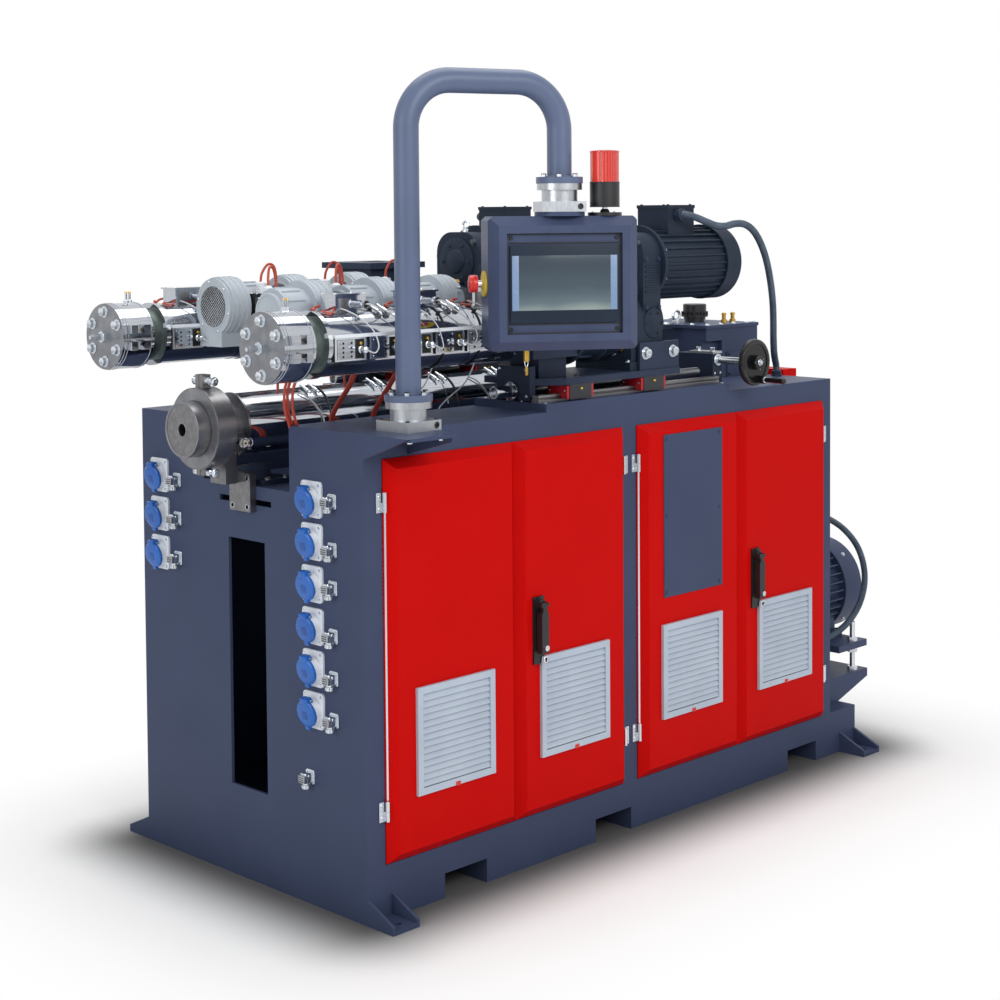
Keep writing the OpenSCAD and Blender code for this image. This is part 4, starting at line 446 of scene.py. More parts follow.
for finish, nodes in PLAIN.items():
    for plain in nodes:
        dress(plain, finish)
dress_cabinet()
dress_main()
for unit, (side, inner) in UNITS.items():
    dress_unit(unit, side, inner)
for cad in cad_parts:
    soften(bpy.data.objects[cad], 32)


# Detail pieces: meshes built point by point, each riding on its own body
def axes(direction):
    """A unit vector along a direction and two across it."""
    a = Vector(direction).normalized()
    u = a.cross(Vector(Z if abs(a.z) < 0.9 else X)).normalized()
    return a, u, a.cross(u)


def turn_steps(n, start=0.0):
    return [start + 2 * math.pi * i / n for i in range(n)]


def curve(points, steps, close):
    """Smooth curve through the points, with steps places between each two."""
    n = len(points)
    path = []
    for i in range(n if close else n - 1):
        a, b, c, d = [points[(i + j) % n if close else min(max(i + j, 0), n - 1)] for j in (-1, 0, 1, 2)]
        for t in (q / steps for q in range(steps)):
            path.append(0.5 * (2 * b + (c - a) * t + (2 * a - 5 * b + 4 * c - d) * t * t
                               + (3 * b - a - 3 * c + d) * t ** 3))
    return path if close else path + [points[-1]]


def respaced(path, step):
    """Points at even steps along a path."""
    fine, left = [path[0]], 0.0
    for a, b in zip(path, path[1:]):
        d = (b - a).length
        x = step - left
        while x < d:
            fine.append(a.lerp(b, x / d))
            x += step
        left = (left + d) % step
    return fine


class Geo:
    """Collects rounded boxes, turned shapes and swept tubes, then makes one object of them."""

    def __init__(self):
        self.bm = bmesh.new()
        self.mats = []

    def slot(self, mat):
        if mat not in self.mats:
            self.mats.append(mat)
        return self.mats.index(mat)

    def skin(self, rows, mat, wrap=False):
        """Faces between rows of points, each row closed on itself; capped unless the rows wrap round."""
        k = self.slot(mat)
        rows = [[self.bm.verts.new(M(*p)) for p in row] for row in rows]
        for p, q in zip(rows, rows[1:] + rows[:1] if wrap else rows[1:]):
            n = max(len(p), len(q))
            for i in range(n):
                j = (i + 1) % n
                corners = (p[i % len(p)], q[i % len(q)], q[j % len(q)], p[j % len(p)])
                face = list(dict.fromkeys(corners))
                if len(face) > 2:
                    self.bm.faces.new(face).material_index = k
        for row in () if wrap else (rows[0], rows[-1]):
            if len(row) > 2:
                self.bm.faces.new(row).material_index = k

    def lathe(self, at, axis, profile, mat, seg=24, turn=0.0, hollow=False):
        """Turned shape from (distance along the axis, radius) pairs; a hollow profile closes on itself."""
        a, u, v = axes(axis)

        def point(d, r, t):
            return Vector(at) + a * d + (u * math.cos(t) + v * math.sin(t)) * r
        angles = turn_steps(seg, turn)
        if hollow:
            rows = [[point(d, r, t) for d, r in profile] for t in angles]
        else:
            rows = [[point(d, r, t) for t in (angles if r else angles[:1])] for d, r in profile]
        self.skin(rows, mat, hollow)

    def ring(self, at, axis, r_in, r_out, t, mat, seg=48):
        """Flat ring with rounded edges."""
        b = min(t, r_out - r_in) * 0.3
        self.lathe(at, axis, [(0, r_in + b), (0, r_out - b), (b, r_out), (t - b, r_out), (t, r_out - b),
                              (t, r_in + b), (t - b, r_in), (b, r_in)], mat, seg, hollow=True)

    def bolt(self, at, axis, r, h, mat="zinc"):
        """Hexagon bolt with a chamfered crown and a washer."""
        self.lathe(at, axis, [(0, r * 1.25), (h * 0.16, r * 1.25), (h * 0.22, r * 1.18)], mat, 20)
        self.lathe(at, axis, [(h * 0.1, r), (h * 0.8, r), (h, r * 0.86)], mat, 6, 0.3)

    def cap_screw(self, at, axis, r, h, mat="zinc"):
        """Socket head screw with its hollow."""
        self.lathe(at, axis, [(0, r), (h * 0.86, r), (h, r * 0.9), (h, r * 0.5), (h * 0.4, r * 0.5),
                              (h * 0.35, 0)], mat, 16)

    def dome(self, at, axis, r, h, mat="zinc"):
        self.lathe(at, axis, [(0, r), (h * 0.35, r), (h * 0.7, r * 0.82), (h * 0.93, r * 0.45), (h, 0)], mat, 14)

    def eye(self, at, axis, r, wire):
        """Ring of round wire; at is its middle."""
        self.tube(wheel(at, axis, r, 12), wire, "zinc", 8, 3, close=True)

    def box(self, lo, hi, mat, bevel=1.0, put=lambda p: M(*p)):
        """Rounded box; put maps its millimetres to the frame."""
        k = self.slot(mat)
        vs = [self.bm.verts.new(p) for p in product(*zip(lo, hi))]
        quads = [(0, 1, 3, 2), (4, 6, 7, 5), (0, 4, 5, 1), (2, 3, 7, 6), (0, 2, 6, 4), (1, 5, 7, 3)]
        fs = [self.bm.faces.new([vs[i] for i in q]) for q in quads]
        before = set(self.bm.faces)
        width = min(bevel, 0.45 * min(abs(h - l) for l, h in zip(lo, hi)))
        bmesh.ops.bevel(self.bm, geom=list({e for f in fs for e in f.edges}), offset=width, segments=2,
                        profile=0.6, affect="EDGES")
        out = [f for f in self.bm.faces if f not in before] + [f for f in fs if f.is_valid]
        for f in out:
            f.material_index = k
        for v in {v for f in out for v in f.verts}:
            v.co = put(tuple(v.co))

    def tube(self, points, r, mat, seg=10, steps=8, ripple=0.0, pitch=5.0, close=False):
        """Tube along a smooth curve through the points; ripple makes it corrugated."""
        path = curve([Vector(p) for p in points], steps, close)
        if ripple:
            path = respaced(path, pitch / 2)
        m = len(path)
        u = None
        rows = []
        for i, p in enumerate(path):
            before, after = (i - 1) % m if close else max(i - 1, 0), (i + 1) % m if close else min(i + 1, m - 1)
            a = (path[after] - path[before]).normalized()
            u = axes(a)[1] if u is None else u
            u = (u - a * u.dot(a)).normalized()
            v = a.cross(u)
            rr = r * (1 - ripple * (i % 2))
            rows.append([p + (u * math.cos(t) + v * math.sin(t)) * rr for t in turn_steps(seg)])
        self.skin(rows, mat, close)

    def plate(self, at, w, h, r, t, mat, n=24):
        """Upright plate that faces the front, with round corners, w along y and h along z, t thick."""
        rows = []
        for d, e in ((0, 0), (t - 1, 0), (t, 1)):
            rows.append([])
            for q in turn_steps(n, math.pi / n):
                c, s = math.cos(q), math.sin(q)
                rows[-1].append((at[0] - d, at[1] + math.copysign(w / 2 - r, c) + (r - e) * c,
                                 at[2] + math.copysign(h / 2 - r, s) + (r - e) * s))
        self.skin(rows, mat)

    def make(self, name, body=None, slot=None):
        bmesh.ops.recalc_face_normals(self.bm, faces=list(self.bm.faces))
        me = bpy.data.meshes.new(name)
        self.bm.to_mesh(me)
        self.bm.free()
        for mat in self.mats:
            me.materials.append(MAT[mat])
        o = bpy.data.objects.new(name, me)
        bpy.context.scene.collection.objects.link(o)
        soften(o, 36)
        if body:
            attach(o, body)
        return o


def door_details():
    for i, x in enumerate((129, 538, 998, 1411)):
        g = Geo()
        g.box((x + 117, -35.2, 270.4), (x + 131, -31, 280), "red_plastic", 1.2)
        for p in spots((x + 8, x + 240), -33, (280, 512)):
            g.dome(p, NY, 2.6, 1.2, "grey_plastic")
        g.make("grille_clip_%d" % (i + 1), "door_%d" % (i + 1), "red_plastic")
    for i, x in ((2, 531), (4, 1399)):
        g = Geo()
        g.lathe((x, -52, 518), NY, [(0, 9), (1.6, 9), (2.4, 8), (2.6, 6.4), (1.2, 6.2), (1.2, 0)], "zinc")
        # Key slot: a near-black box as painted shade
        g.box((x - 1, -55.6, 513), (x + 1, -53.1, 523), "painted_shade_black", 0.3)
        g.make("lock_%d" % i, "lever_%d" % i, "zinc_plate")


def hinge_details():
    g = Geo()
    for (x, s), z in product(HINGES, (250, 950)):
        for dz in (-14, 14):
            g.dome((x - s * 12.5, -4, z + dz), NY, 3, 1.6)
        g.dome((x, -10, z + 22.4), Z, 3.4, 1.5)
    g.make("hinge_screws", "base", "zinc_plate")


def wall_socket(g, c, out, up):
    """One socket about its middle c on the end plate, its barrel and lid along out."""
    def lid(p):
        return c + out * p[0] + Vector(Y) * p[1] + up * p[2]

    def put(p):
        return M(*lid(p))
    g.plate(c, 72, 84, 9, 6, "white_plastic")
    for p in spots(-5.6, (c.y - 29, c.y + 29), (c.z - 35, c.z + 35)):
        g.cap_screw(p, NX, 4, 1.6)
    g.lathe(lid((4, 0, 0)), out, [(0, 31), (12, 29.6), (20, 29.2)], "white_plastic", 40)
    g.lathe(lid((21, 0, 0)), out, [(0, 30.6), (1, 32), (6.5, 32), (9.6, 28.5), (10.6, 21), (10.6, 0)],
            "blue_plastic", 40)
    for lo, hi, bevel in (((13, -13, 19), (31, 13, 38), 4), ((14, -16, 26), (24, 16, 35), 2),
                          ((21, -7, -38), (30, 7, -27), 2.4)):
        g.box(lo, hi, "blue_plastic", bevel, put)
    g.box((31, -9, -12), (32, 9, 7), "blue_dark", 0.4, put)
    for dy in (-17.4, 16):
        g.lathe(lid((19, dy, 30.5)), Y, [(0, 3), (0.4, 3.4), (1.4, 3)], "zinc", 12)


def connector(g, y, z):
    g.plate((0, y, z), 30, 34, 5, 4, "zinc")
    for p in spots(-3.6, (y - 11, y + 11), (z - 13, z + 13)):
        g.cap_screw(p, NX, 2.6, 1.8)
    g.box((-24, y - 10.5, z - 11), (-3, y + 10.5, z + 12), "zinc", 3)
    g.box((-30, y - 11, z - 10), (-22, y + 11, z + 8), "alu", 2)
    for dz in (-6, -1, 4):
        g.box((-31, y - 8.5, z + dz - 1), (-29.5, y + 8.5, z + dz + 1), "iron", 0.4)
    g.lathe((-15, y, z - 9), NZ, [(0, 8.4), (6, 8.4), (7, 9.8), (15, 9.8), (16, 7.4), (13, 6.4), (13, 0)],
            "zinc", 20)
    for a, b, _ in wheel((-15, y, z), Z, 9.6, 8):
        g.box((a - 0.9, b - 0.9, z - 23.6), (a + 0.9, b + 0.9, z - 16.6), "zinc", 0.3)
    g.lathe((-15, y - 10, z + 6), NY, [(0, 3.4), (1.8, 3.4), (2.6, 2)], "zinc", 14)
    g.tube([(-18, y - 11.2, z + 3), (-26, y - 11.8, z + 8), (-27, y - 11.4, z + 13), (-20, y - 10.8, z + 13.6)],
           1.2, "zinc", 6, 4)


def socket_details():
    """Wall sockets with hinged lids, and the small metal connectors beside them."""
    tilt = math.radians(10)
    out = Vector((-math.cos(tilt), 0, -math.sin(tilt)))
    up = Vector((-math.sin(tilt), 0, math.cos(tilt)))
    g = Geo()
    for y, n in ((176, 6), (771, 3)):
        for i in range(n):
            wall_socket(g, Vector((0, y, 945.5 - 97.3 * i)), out, up)
    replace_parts(g.make("sockets", "base", "socket_plastic"), "wall_sockets")
    g = Geo()
    for y, z in CONNECTORS:
        connector(g, y, z)
    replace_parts(g.make("connectors", "base", "bright_steel"), "wall_sockets")


def panel_details():
    """Operator panel: frame strips, screen, lock, signal lamp and stop button."""
    def hmi(x, y, z):
        return tuple(mm(at_hmi((x, y, z))))
    to_face, to_side = (-HMI_B.x, -HMI_B.y, 0), (-HMI_R.x, -HMI_R.y, 0)
    front = -43
    g = Geo()
    for x0, x1, z0, z1, d in ((-138, -132, 1313, 1547, 1.2), (132, 138, 1313, 1547, 1.2),
                              (-138, 138, 1313, 1317, 1.2), (-138, 138, 1543, 1547, 1.2),
                              (-132, 132, 1334, 1337, 1.6), (-132, 132, 1523, 1526, 1.6)):
        g.box((x0, front - d, z0), (x1, front, z1), "black_dull", 0.5, at_hmi)
    for x, z in product((-126, 126), (1324, 1536)):
        g.lathe(hmi(x, front, z), to_face, [(0, 4.6), (2.4, 4.6), (3.2, 3.8), (3.2, 2), (1.4, 1.9), (1.4, 0)],
                "black_plastic", 18)
    g.make("panel_trim", "hmi", "black_plastic")
    glass = -49
    g = Geo()
    g.box((-129, glass - 1.8, 1339), (129, glass, 1521), "bezel", 1.4, at_hmi)
    for x0, x1, mat in ((-125, -109, "strip"), (109, 125, "strip"), (-109, 109, "display")):
        g.box((x0, glass - 2.4, 1368), (x1, glass - 1.6, 1495), mat, 0.3, at_hmi)
    g.make("screen_face", "hmi", "screen_glass")
    g = Geo()
    x, y, _ = hmi(-82, 0, 1248)
    g.lathe((x, y, 1248), NZ, [(-0.5, 6.6), (1.4, 6.2), (2, 5)], "brass", 20)
    g.tube([(x - 5, y, 1247), (x - 5, y, 1240), (x, y, 1234), (x + 5, y, 1240), (x + 5, y, 1247)],
           1.2, "zinc", 8, 6)
    g.box((x - 3.4, y - 1, 1214), (x + 3.4, y + 1, 1235), "brass", 0.5)
    for i in range(4):
        g.box((x + 3, y - 0.8, 1217 + 4 * i), (x + 5.4, y + 0.8, 1219 + 4 * i), "brass", 0.3)
    g.make("panel_lock", "hmi", "bright_steel")
    g = Geo()
    x, y, _ = hmi(109, 0, 0)
    for z, mat in ((1607, "black_dull"), (1663, "black_dull"), (1735, "lens")):
        g.ring((x, y, z - 0.6), Z, 30, 35.6, 2.4, mat, 40)
    g.lathe((x, y, 1735), Z, [(0, 34), (3, 32.5), (4.5, 24), (5, 0)], "lens", 40)
    g.lathe((x, y, 1594), Z, [(0, 12), (5, 10), (8, 7.4)], "black_plastic")
    for p in wheel((x, y, 1594), Z, 30, 3, 28.65):
        g.dome(p, Z, 3, 2)
    g.make("beacon_trim", "hmi", "black_plastic")
    g = Geo()
    g.lathe(hmi(-183, 6, 1430), to_side, [(-1.5, 27), (0.2, 26), (0.6, 11), (3, 10)], "yellow", 40)
    g.make("stop_collar", "hmi", "red_plastic")
    g = Geo()
    g.lathe(hmi(-215, 6, 1430), to_side, [(-17.8, 18.5), (-15, 20.4), (-4, 20.4), (0, 18), (2.2, 12), (2.6, 0)],
            "red_plastic", 40)
    g.make("stop_cap", "estop", "red_plastic")


def arm_details():
    g = Geo()
    for x, y, z in ((ARM_X, ARM_Y, 1194.3), (HMI_AT.x, HMI_AT.y, 1682.8)):
        for p in wheel((x, y, z), Z, 42, 6, math.degrees(ARM_TURN)):
            g.cap_screw(p, Z, 6.2, 2.2, "black_plastic")
        # Ring in the arm's lighter paint, a painted highlight
        g.ring((x, y, z - 6.1), Z, 28.6, 32, 3, "arm_highlit_paint", 36)
    g.make("arm_screws", "arm", "black_plastic")
    g = Geo()
    # Near-black disc in the hole: painted shade
    g.lathe((163, -67.2, 1119), NY, [(-24, 6.8), (-24, 0)], "painted_shade_black", 20)
    g.ring((163, -67.05, 1119), NY, 6.9, 8.4, 0.7, "machined", 28)
    g.cap_screw((163, -62, 1119), NY, 6.4, 4, "black_plastic")
    for x, y in ((30, -20), (190, -30), (30, -120), (120, -125)):
        g.bolt((x, y, 1099), NZ, 7, 6)
    for p in wheel((ARM_X, ARM_Y, 1131), Z, 62, 4, 45):
        g.cap_screw(p, Z, 4.6, 2.4, "black_plastic")
    g.make("pedestal_bolts", "base", "zinc_plate")


door_details()
hinge_details()
socket_details()
panel_details()
arm_details()


# Fittings of the extruders, drives and control gear
LEAN = math.radians(24)
CLAMP_OUT = Vector((0, -math.sin(LEAN), math.cos(LEAN)))
CLAMP_WAY = Vector((0, -math.cos(LEAN), -math.sin(LEAN)))
# Paths from a place of their own; the first two numbers of each point are along and across from it
BLOWER_CABLE = [(0, 0, 1426), (2, 3, 1450), (14, 12, 1472), (30, 17, 1464), (36, 16, 1420), (32, 10, 1340),
                (26, 2, 1250), (20, -4, 1176)]
UNIT_PATH = [(1177, -69.3, 1586), (1177, -84, 1586), (1196, -101, 1579), (1235, -108, 1566), (1275, -108, 1556),
             (1320, -106, 1554), (1365, -104, 1560), (1410, -102, 1558), (1455, -98, 1540), (1500, -90, 1504),
             (1540, -80, 1456), (1575, -68, 1396), (1605, -54, 1336), (1630, -38, 1280), (1655, -20, 1230),
             (1690, 4, 1188), (1730, 30, 1162), (1760, 48, 1143), (1770, 53, 1124), (1770, 53, 1107.3)]
MAIN_PATH = [(1960, 262, 621.3), (1960, 262, 645), (1960, 246, 664), (1966, 200, 676), (1982, 150, 664),
             (2008, 102, 632), (2032, 68, 582), (2044, 50, 522), (2040, 44, 460), (2012, 46, 400), (1964, 56, 352),
             (1904, 70, 324), (1840, 82, 312), (1796.3, 82, 312)]


def placed(x, y, points, side=1):
    """A path moved to x and y, mirrored across where side is -1."""
    return [(x + a, y + side * b, z) for a, b, z in points]


def band_clamp(g, at, r, half, profile, seg):
    """Closing screw of a band on a shroud of radius r; gives its middle."""
    c = Vector(at) + CLAMP_OUT * r
    g.lathe(c - CLAMP_WAY * half, CLAMP_WAY, profile, "zinc", seg)
    return c


def cable_tie(g, at, wire):
    g.tube(wheel(at, X, 76, 16, 90), wire, "black_plastic", 6, 3, close=True)


def fan_grille(g, at, spoke_x, r_in, r_out, rings, half, mat, seg):
    """Dark disc behind rings and twelve spokes, at the rear of a motor; the disc is painted shade in the opening
    behind the grille.
    """
    x, y, z = at
    g.ring((x - 0.2, y, z), X, 0.5, r_out, 0.6, "painted_shade_black", seg)
    for r in rings:
        g.ring(at, X, r - half, r + half, half + 1, mat, seg)
    hub, rim = [wheel((spoke_x, y, z), X, r, 12) for r in (r_in, r_out)]
    for ends in zip(hub, rim):
        g.tube(ends, half + 0.1, mat, 6, 2)


def head_trim(k, y):
    g = Geo()
    for x in (-178, -170, -104):
        g.ring((x, y, UNIT_Z), X, 79.4, 81.2, 3, "polished", 72)
    for _, b, z in wheel((0, y, UNIT_Z), X, 60, 6, 30):
        g.ring((-185.6, b, z), X, 6, 14, 1.6, "zinc", 24)
        g.dome((-195, b, z), NX, 9.4, 2)
    g.ring((-196, y, UNIT_Z), X, 8, 13.6, 2, "zinc", 24)
    g.ring((-226.6, y, UNIT_Z), X, 4.6, 8.4, 3, "turned", 24)
    for x in (-122, -112):
        g.lathe((x, y, 1383), Z, [(-3, 6.4), (5, 6.4), (7, 4.4)], "zinc", 6)
        g.dome((x, y, 1406), Z, 3.8, 4, "brass")
    for x, z in product((-155, -119), (1283, 1323)):
        g.box((x - 6, y - 92.5, z - 7), (x + 6, y - 86, z + 7), "cream_plastic")
        g.dome((x, y - 92, z), NY, 3.6, 2.4)
    g.make(k + "_head_trim", k + "_unit", "polished_steel")


def shroud_trim(k, y, s):
    """Shroud fittings of one small extruder: clamps, ties, louvre plugs, leads."""
    body = k + "_unit"
    g = Geo()
    for x in (118, 142, 338, 362, 548):
        c = band_clamp(g, (x, y, UNIT_Z), 80, 24, [(0, 2.6), (1, 3.4), (20, 3.4), (20.5, 5), (36, 5),
                                                   (36.5, 3), (47, 3), (48, 2)], 14)
        for q in (-20, 17):
            m = c + CLAMP_WAY * q - CLAMP_OUT * 3
            g.lathe((m.x - 6, m.y, m.z), X, [(0, 4.6), (0.8, 5.6), (11.2, 5.6), (12, 4.6)], "machined", 14)
    g.make(k + "_band_clamps", body, "bright_steel")
    g = Geo()
    turn = math.radians(40)
    b, z = y - 78 * math.sin(turn), UNIT_Z + 78 * math.cos(turn)
    for x in (206, 300, 418):
        cable_tie(g, (x, y, UNIT_Z), 1.7)
        g.box((x - 3.4, b - 3.2, z - 3), (x + 3.4, b + 3.2, z + 3), "black_plastic", 0.8)
        g.tube([(x, b, z), (x + 3, b - 9, z + 2), (x + 5, b - 20, z - 2)], 1.2, "black_plastic", 6, 4)
    g.make(k + "_ties", body, "black_plastic")
    g = Geo()
    for x in LOUVRE_X:
        # Near-black box behind each plug: painted shade in the louvre opening
        g.box((x + 60, y - 77.8, 1272), (x + 86, y - 74, 1315), "painted_shade_black", 0.5)
        g.lathe((x + 73, y - 77, 1292), NY, [(0, 8.6), (7, 8.6), (8, 6.6), (18, 6.6), (19, 7.6), (24, 7.6),
                                             (26, 4)], "zinc", 18)
        g.lathe((x + 73, y - 77.6, 1306), NY, [(0, 4), (5, 4), (6.5, 3), (7, 0)], "brass", 10)
        for p in spots((x + 12, x + 54), y - 77.4, (1275, 1312)):
            g.dome(p, NY, 1.9, 1.2)
    g.make(k + "_louvre_plugs", body, "bright_steel")
    g = Geo()
    for x, lift in zip(LOUVRE_X, (0, 10, -6, 4, 12, -4)):
        g.tube(placed(x, y, [(73, -102, 1292), (76, -111, 1288), (90, -113, 1286 + lift / 2),
                             (106 + lift, -104, 1302 + lift), (104 + lift, -88, 1334), (84, -66, 1362),
                             (66, -42, 1378), (58, -18, 1384)]), 1.6, "lead", 8)
    for x in TERMINAL_X:
        g.tube(placed(x, y, [(22, -49, 1390), (24, -62, 1391), (40, -70, 1384), (58, -66, 1376),
                             (76, -50, 1372), (96, -30, 1379)]), 2, "lead", 8)
    g.make(k + "_white_leads", body, "socket_plastic")
    g = Geo()
    for x in TERMINAL_X:
        for r, path in ((2.8, [(-30, 30, 1388), (-44, 44, 1384), (-62, 38, 1374), (-78, 16, 1383), (-90, -6, 1381)]),
                        (2.8, [(20, 30, 1394), (26, 52, 1390), (20, s * 66, 1376)]),
                        (2.4, [(-46, -20, 1382), (-60, -32, 1374), (-80, -20, 1378)])):
            g.tube(placed(x, y, path), r, "red_rubber", 8)
    g.make(k + "_red_leads", body, "red_plastic")
    g = Geo()
    for x in TERMINAL_X:
        for p in spots((x - 42, x + 42), (y - 22, y + 22), 1415):
            g.dome(p, Z, 2.6, 1.6)
        g.ring((x + 22.5, y - 51, 1390), NY, 6, 10.4, 4, "machined", 20)
        g.lathe((x + 22.5, y - 44, 1390), NY, [(0, 10.4), (5, 10.4), (6, 9)], "zinc", 6)
        g.box((x - 36, y - 26.9, 1370), (x - 8, y - 25.8, 1405), "machined", 0.4)
    g.box((-42, y - 79.4, 1319.4), (555, y - 77.6, 1326.6), "white_plastic", 0.5)
    g.make(k + "_terminal_trim", body, "bright_steel")


def thrust_housing(k, y):
    """Cast housing between feed block and gearbox, with its two bolt rings, in the darker slate copy that paints in
    shade.
    """
    g = Geo()
    g.lathe((761, y, UNIT_Z), X, [(0, 96), (1.5, 98), (14, 98), (16, 96), (18, 84), (66, 80), (96, 86),
                                  (100, 97), (108, 97)], "slate_painted_shade", 64)
    for p in wheel((777, y, UNIT_Z), X, 91, 8, 22.5):
        g.bolt(p, X, 5, 5)
    for p in wheel((780, y, UNIT_Z), X, 84, 8, 22.5):
        g.lathe(p, X, [(0, 4), (78, 4), (80, 2)], "slate_painted_shade", 10)
    g.make(k + "_thrust_housing", k + "_unit", "slate_paint")


def blower_trim(k, y, s):
    body = k + "_unit"
    first, d = (88, -1) if s > 0 else (40, 1)
    inlets = [first + BLOWER_PITCH * q for q in range(3)]
    out, cy, diagonal = (-d, 0, 0), y + s * BLOWER_OUT, math.sqrt(0.5)
    g = Geo()
    for x in inlets:
        g.ring((x - 1.5, cy, BLOWER_Z), X, 50, 55, 3, "cast_alu")
        for t in (20, 36, 52):
            g.ring((x + d * t - 1.2, cy, BLOWER_Z), X, 71, 73.4, 2.4, "cast_alu", 56)
        for p in wheel((x, cy, BLOWER_Z), X, 62, 6, 15):
            g.dome(p, out, 3.6, 2.6)
        # Near-black disc behind the mesh: painted shade inside the inlet
        g.lathe((x - d * 0.5, cy, BLOWER_Z), out, [(0, 49.8), (0.6, 49.8), (0.6, 0)], "painted_shade_black", 48)
        # Wire mesh: two layers of straight wires across each other
        for a, j in product((-1, 1), range(-8, 9)):
            v = 5.8 * j
            w = math.sqrt(49.5 ** 2 - v ** 2)
            g.tube([(x - d * (1.9 + 0.3 * a), cy + (v + a * q) * diagonal, BLOWER_Z + (a * v - q) * diagonal)
                    for q in (-w, w)], 0.55, "zinc", 6, 2)
        g.ring((x + d * 148 - 2, cy, BLOWER_Z), X, 40, 46.2, 3, "cast_alu", 40)
        for m, b, z in wheel((x + d * 105, cy, BLOWER_Z), X, 57, 12):
            g.box((m - 26, b - 1.6, z - 1.6), (m + 26, b + 1.6, z + 1.6), "cast_alu", 0.6)
    g.make(k + "_blower_trim", body, "cast_alu")
    g, h = Geo(), Geo()
    c = y + s * 198
    for x in inlets:
        x += d * 96
        g.lathe((x, c, 1402), Z, [(0, 12.4), (6, 12.4), (7, 11)], "white_plastic", 6)
        g.lathe((x, c, 1414), Z, [(0, 9.4), (2, 10.6), (11, 10.6), (14.5, 6.5), (16, 4)], "white_plastic")
        for p in spots((x - 20, x + 20), (c - 11, c + 11), 1401):
            g.dome(p, Z, 2.6, 1.6)
        g.box((x - 26.6, c - 17.6, 1392), (x + 26.6, c + 17.6, 1393.4), "black_dull", 0.4)
        h.tube(placed(x, c, BLOWER_CABLE, s), 3.2, "red_rubber", 10, 10)
    g.make(k + "_gland_trim", body, "black_plastic")
    o = h.make(k + "_blower_cables", None, "red_plastic")
    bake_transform(o)


def gear_trim(k, y, s):
    """Gearmotor fittings, mostly in the darker slate copy that paints in shade; s points away from the middle of the
    machine.
    """
    side = (0, s, 0)
    g = Geo()
    for p in spots((1149, 1242), (y - 46, y + 46), 1612):
        g.cap_screw(p, Z, 3.6, 2.4, "black_plastic")
    g.box((1139.6, y - 54.4, 1602.8), (1251.4, y + 54.4, 1604.6), "black_dull", 0.4)
    g.lathe((1177, y + s * 54, 1586), side, [(0, 17.4), (7, 17.4), (8, 16)], "slate_dark", 6)
    g.lathe((1177, y + s * 64, 1586), side, [(0, 15.4), (2, 16.2), (10, 16.2), (13, 12)], "slate_dark", 28)
    for p in wheel((1082, y, GEAR_Z), X, 96.6, 8, 22.5):
        g.bolt(p, X, 5, 5)
    g.ring((1337.5, y, GEAR_Z), X, 97.5, 102.8, 3, "slate_painted_shade", 72)
    fan_grille(g, (1393.4, y, GEAR_Z), 1395, 8, 93, (24, 40, 56, 72, 88), 1.6, "slate_painted_shade", 60)
    g.lathe((1393, y, GEAR_Z), X, [(0, 11), (3, 11), (3.8, 9), (3.8, 0)], "slate_painted_shade", 28)
    for z in range(1384, 1450, 13):
        g.box((1008, y + s * 84, z), (1062, y + s * 88, z + 4), "slate_painted_shade", 1.2)
    for p in spots((1010, 1060), y + s * 85, (1345, 1470)):
        g.bolt(p, side, 7, 6, "slate_dark")
    g.lathe((1035, y + s * 84, UNIT_Z), side, [(0, 40), (6, 40), (8.6, 38), (9, 36), (9, 20), (10, 18),
                                               (10, 0)], "slate_painted_shade", 48)
    for p in wheel((1035, y + s * 93, UNIT_Z), Y, 31, 6):
        g.cap_screw(p, side, 3.6, 2.4, "black_plastic")
    for z in (1240, 1400):
        g.lathe((945, y - 55, z), NX, [(-2, 9), (4, 9), (5, 8), (5, 0)], "brass", 6)
    for p in wheel((945, y, UNIT_Z), X, 82, 8, 22.5):
        g.bolt(p, NX, 6, 6)
    g.lathe((1000, y, GEAR_Z), NX, [(-1, 68), (5, 68), (7, 64), (7, 36), (11, 33), (13, 30), (13, 0)],
            "slate_painted_shade", 56)
    for p in wheel((993, y, GEAR_Z), X, 52, 6):
        g.bolt(p, NX, 4.6, 5, "slate_dark")
    for b in (y - 70 + 25.4 * j for j in range(6)):
        g.box((990, b, 1378), (1001, b + 6, 1400), "slate_painted_shade", 1.5)
    g.lathe((1000, y - 66, 1512), NX, [(-1, 9), (4, 9), (5, 6), (5, 0)], "display", 20)
    g.ring((1088, y, UNIT_Z), X, 30, 66, 3, "slate_painted_shade", 60)
    for p in wheel((1088, y, UNIT_Z), X, 73, 6, 30):
        g.bolt(p, X, 4.6, 4.5)
    g.lathe((1035, y, 1540), Z, [(-2, 10), (6, 10), (7, 8)], "zinc")
    g.eye((1035, y, 1559), X, 12, 3.4)
    for b in (y - 80, y + 80):
        g.bolt((943, b, 1206), Z, 6, 6)
        g.bolt((1075.2, b, 1206), Z, 4, 5)
    g.make(k + "_gearmotor_trim", k + "_unit", "slate_paint")


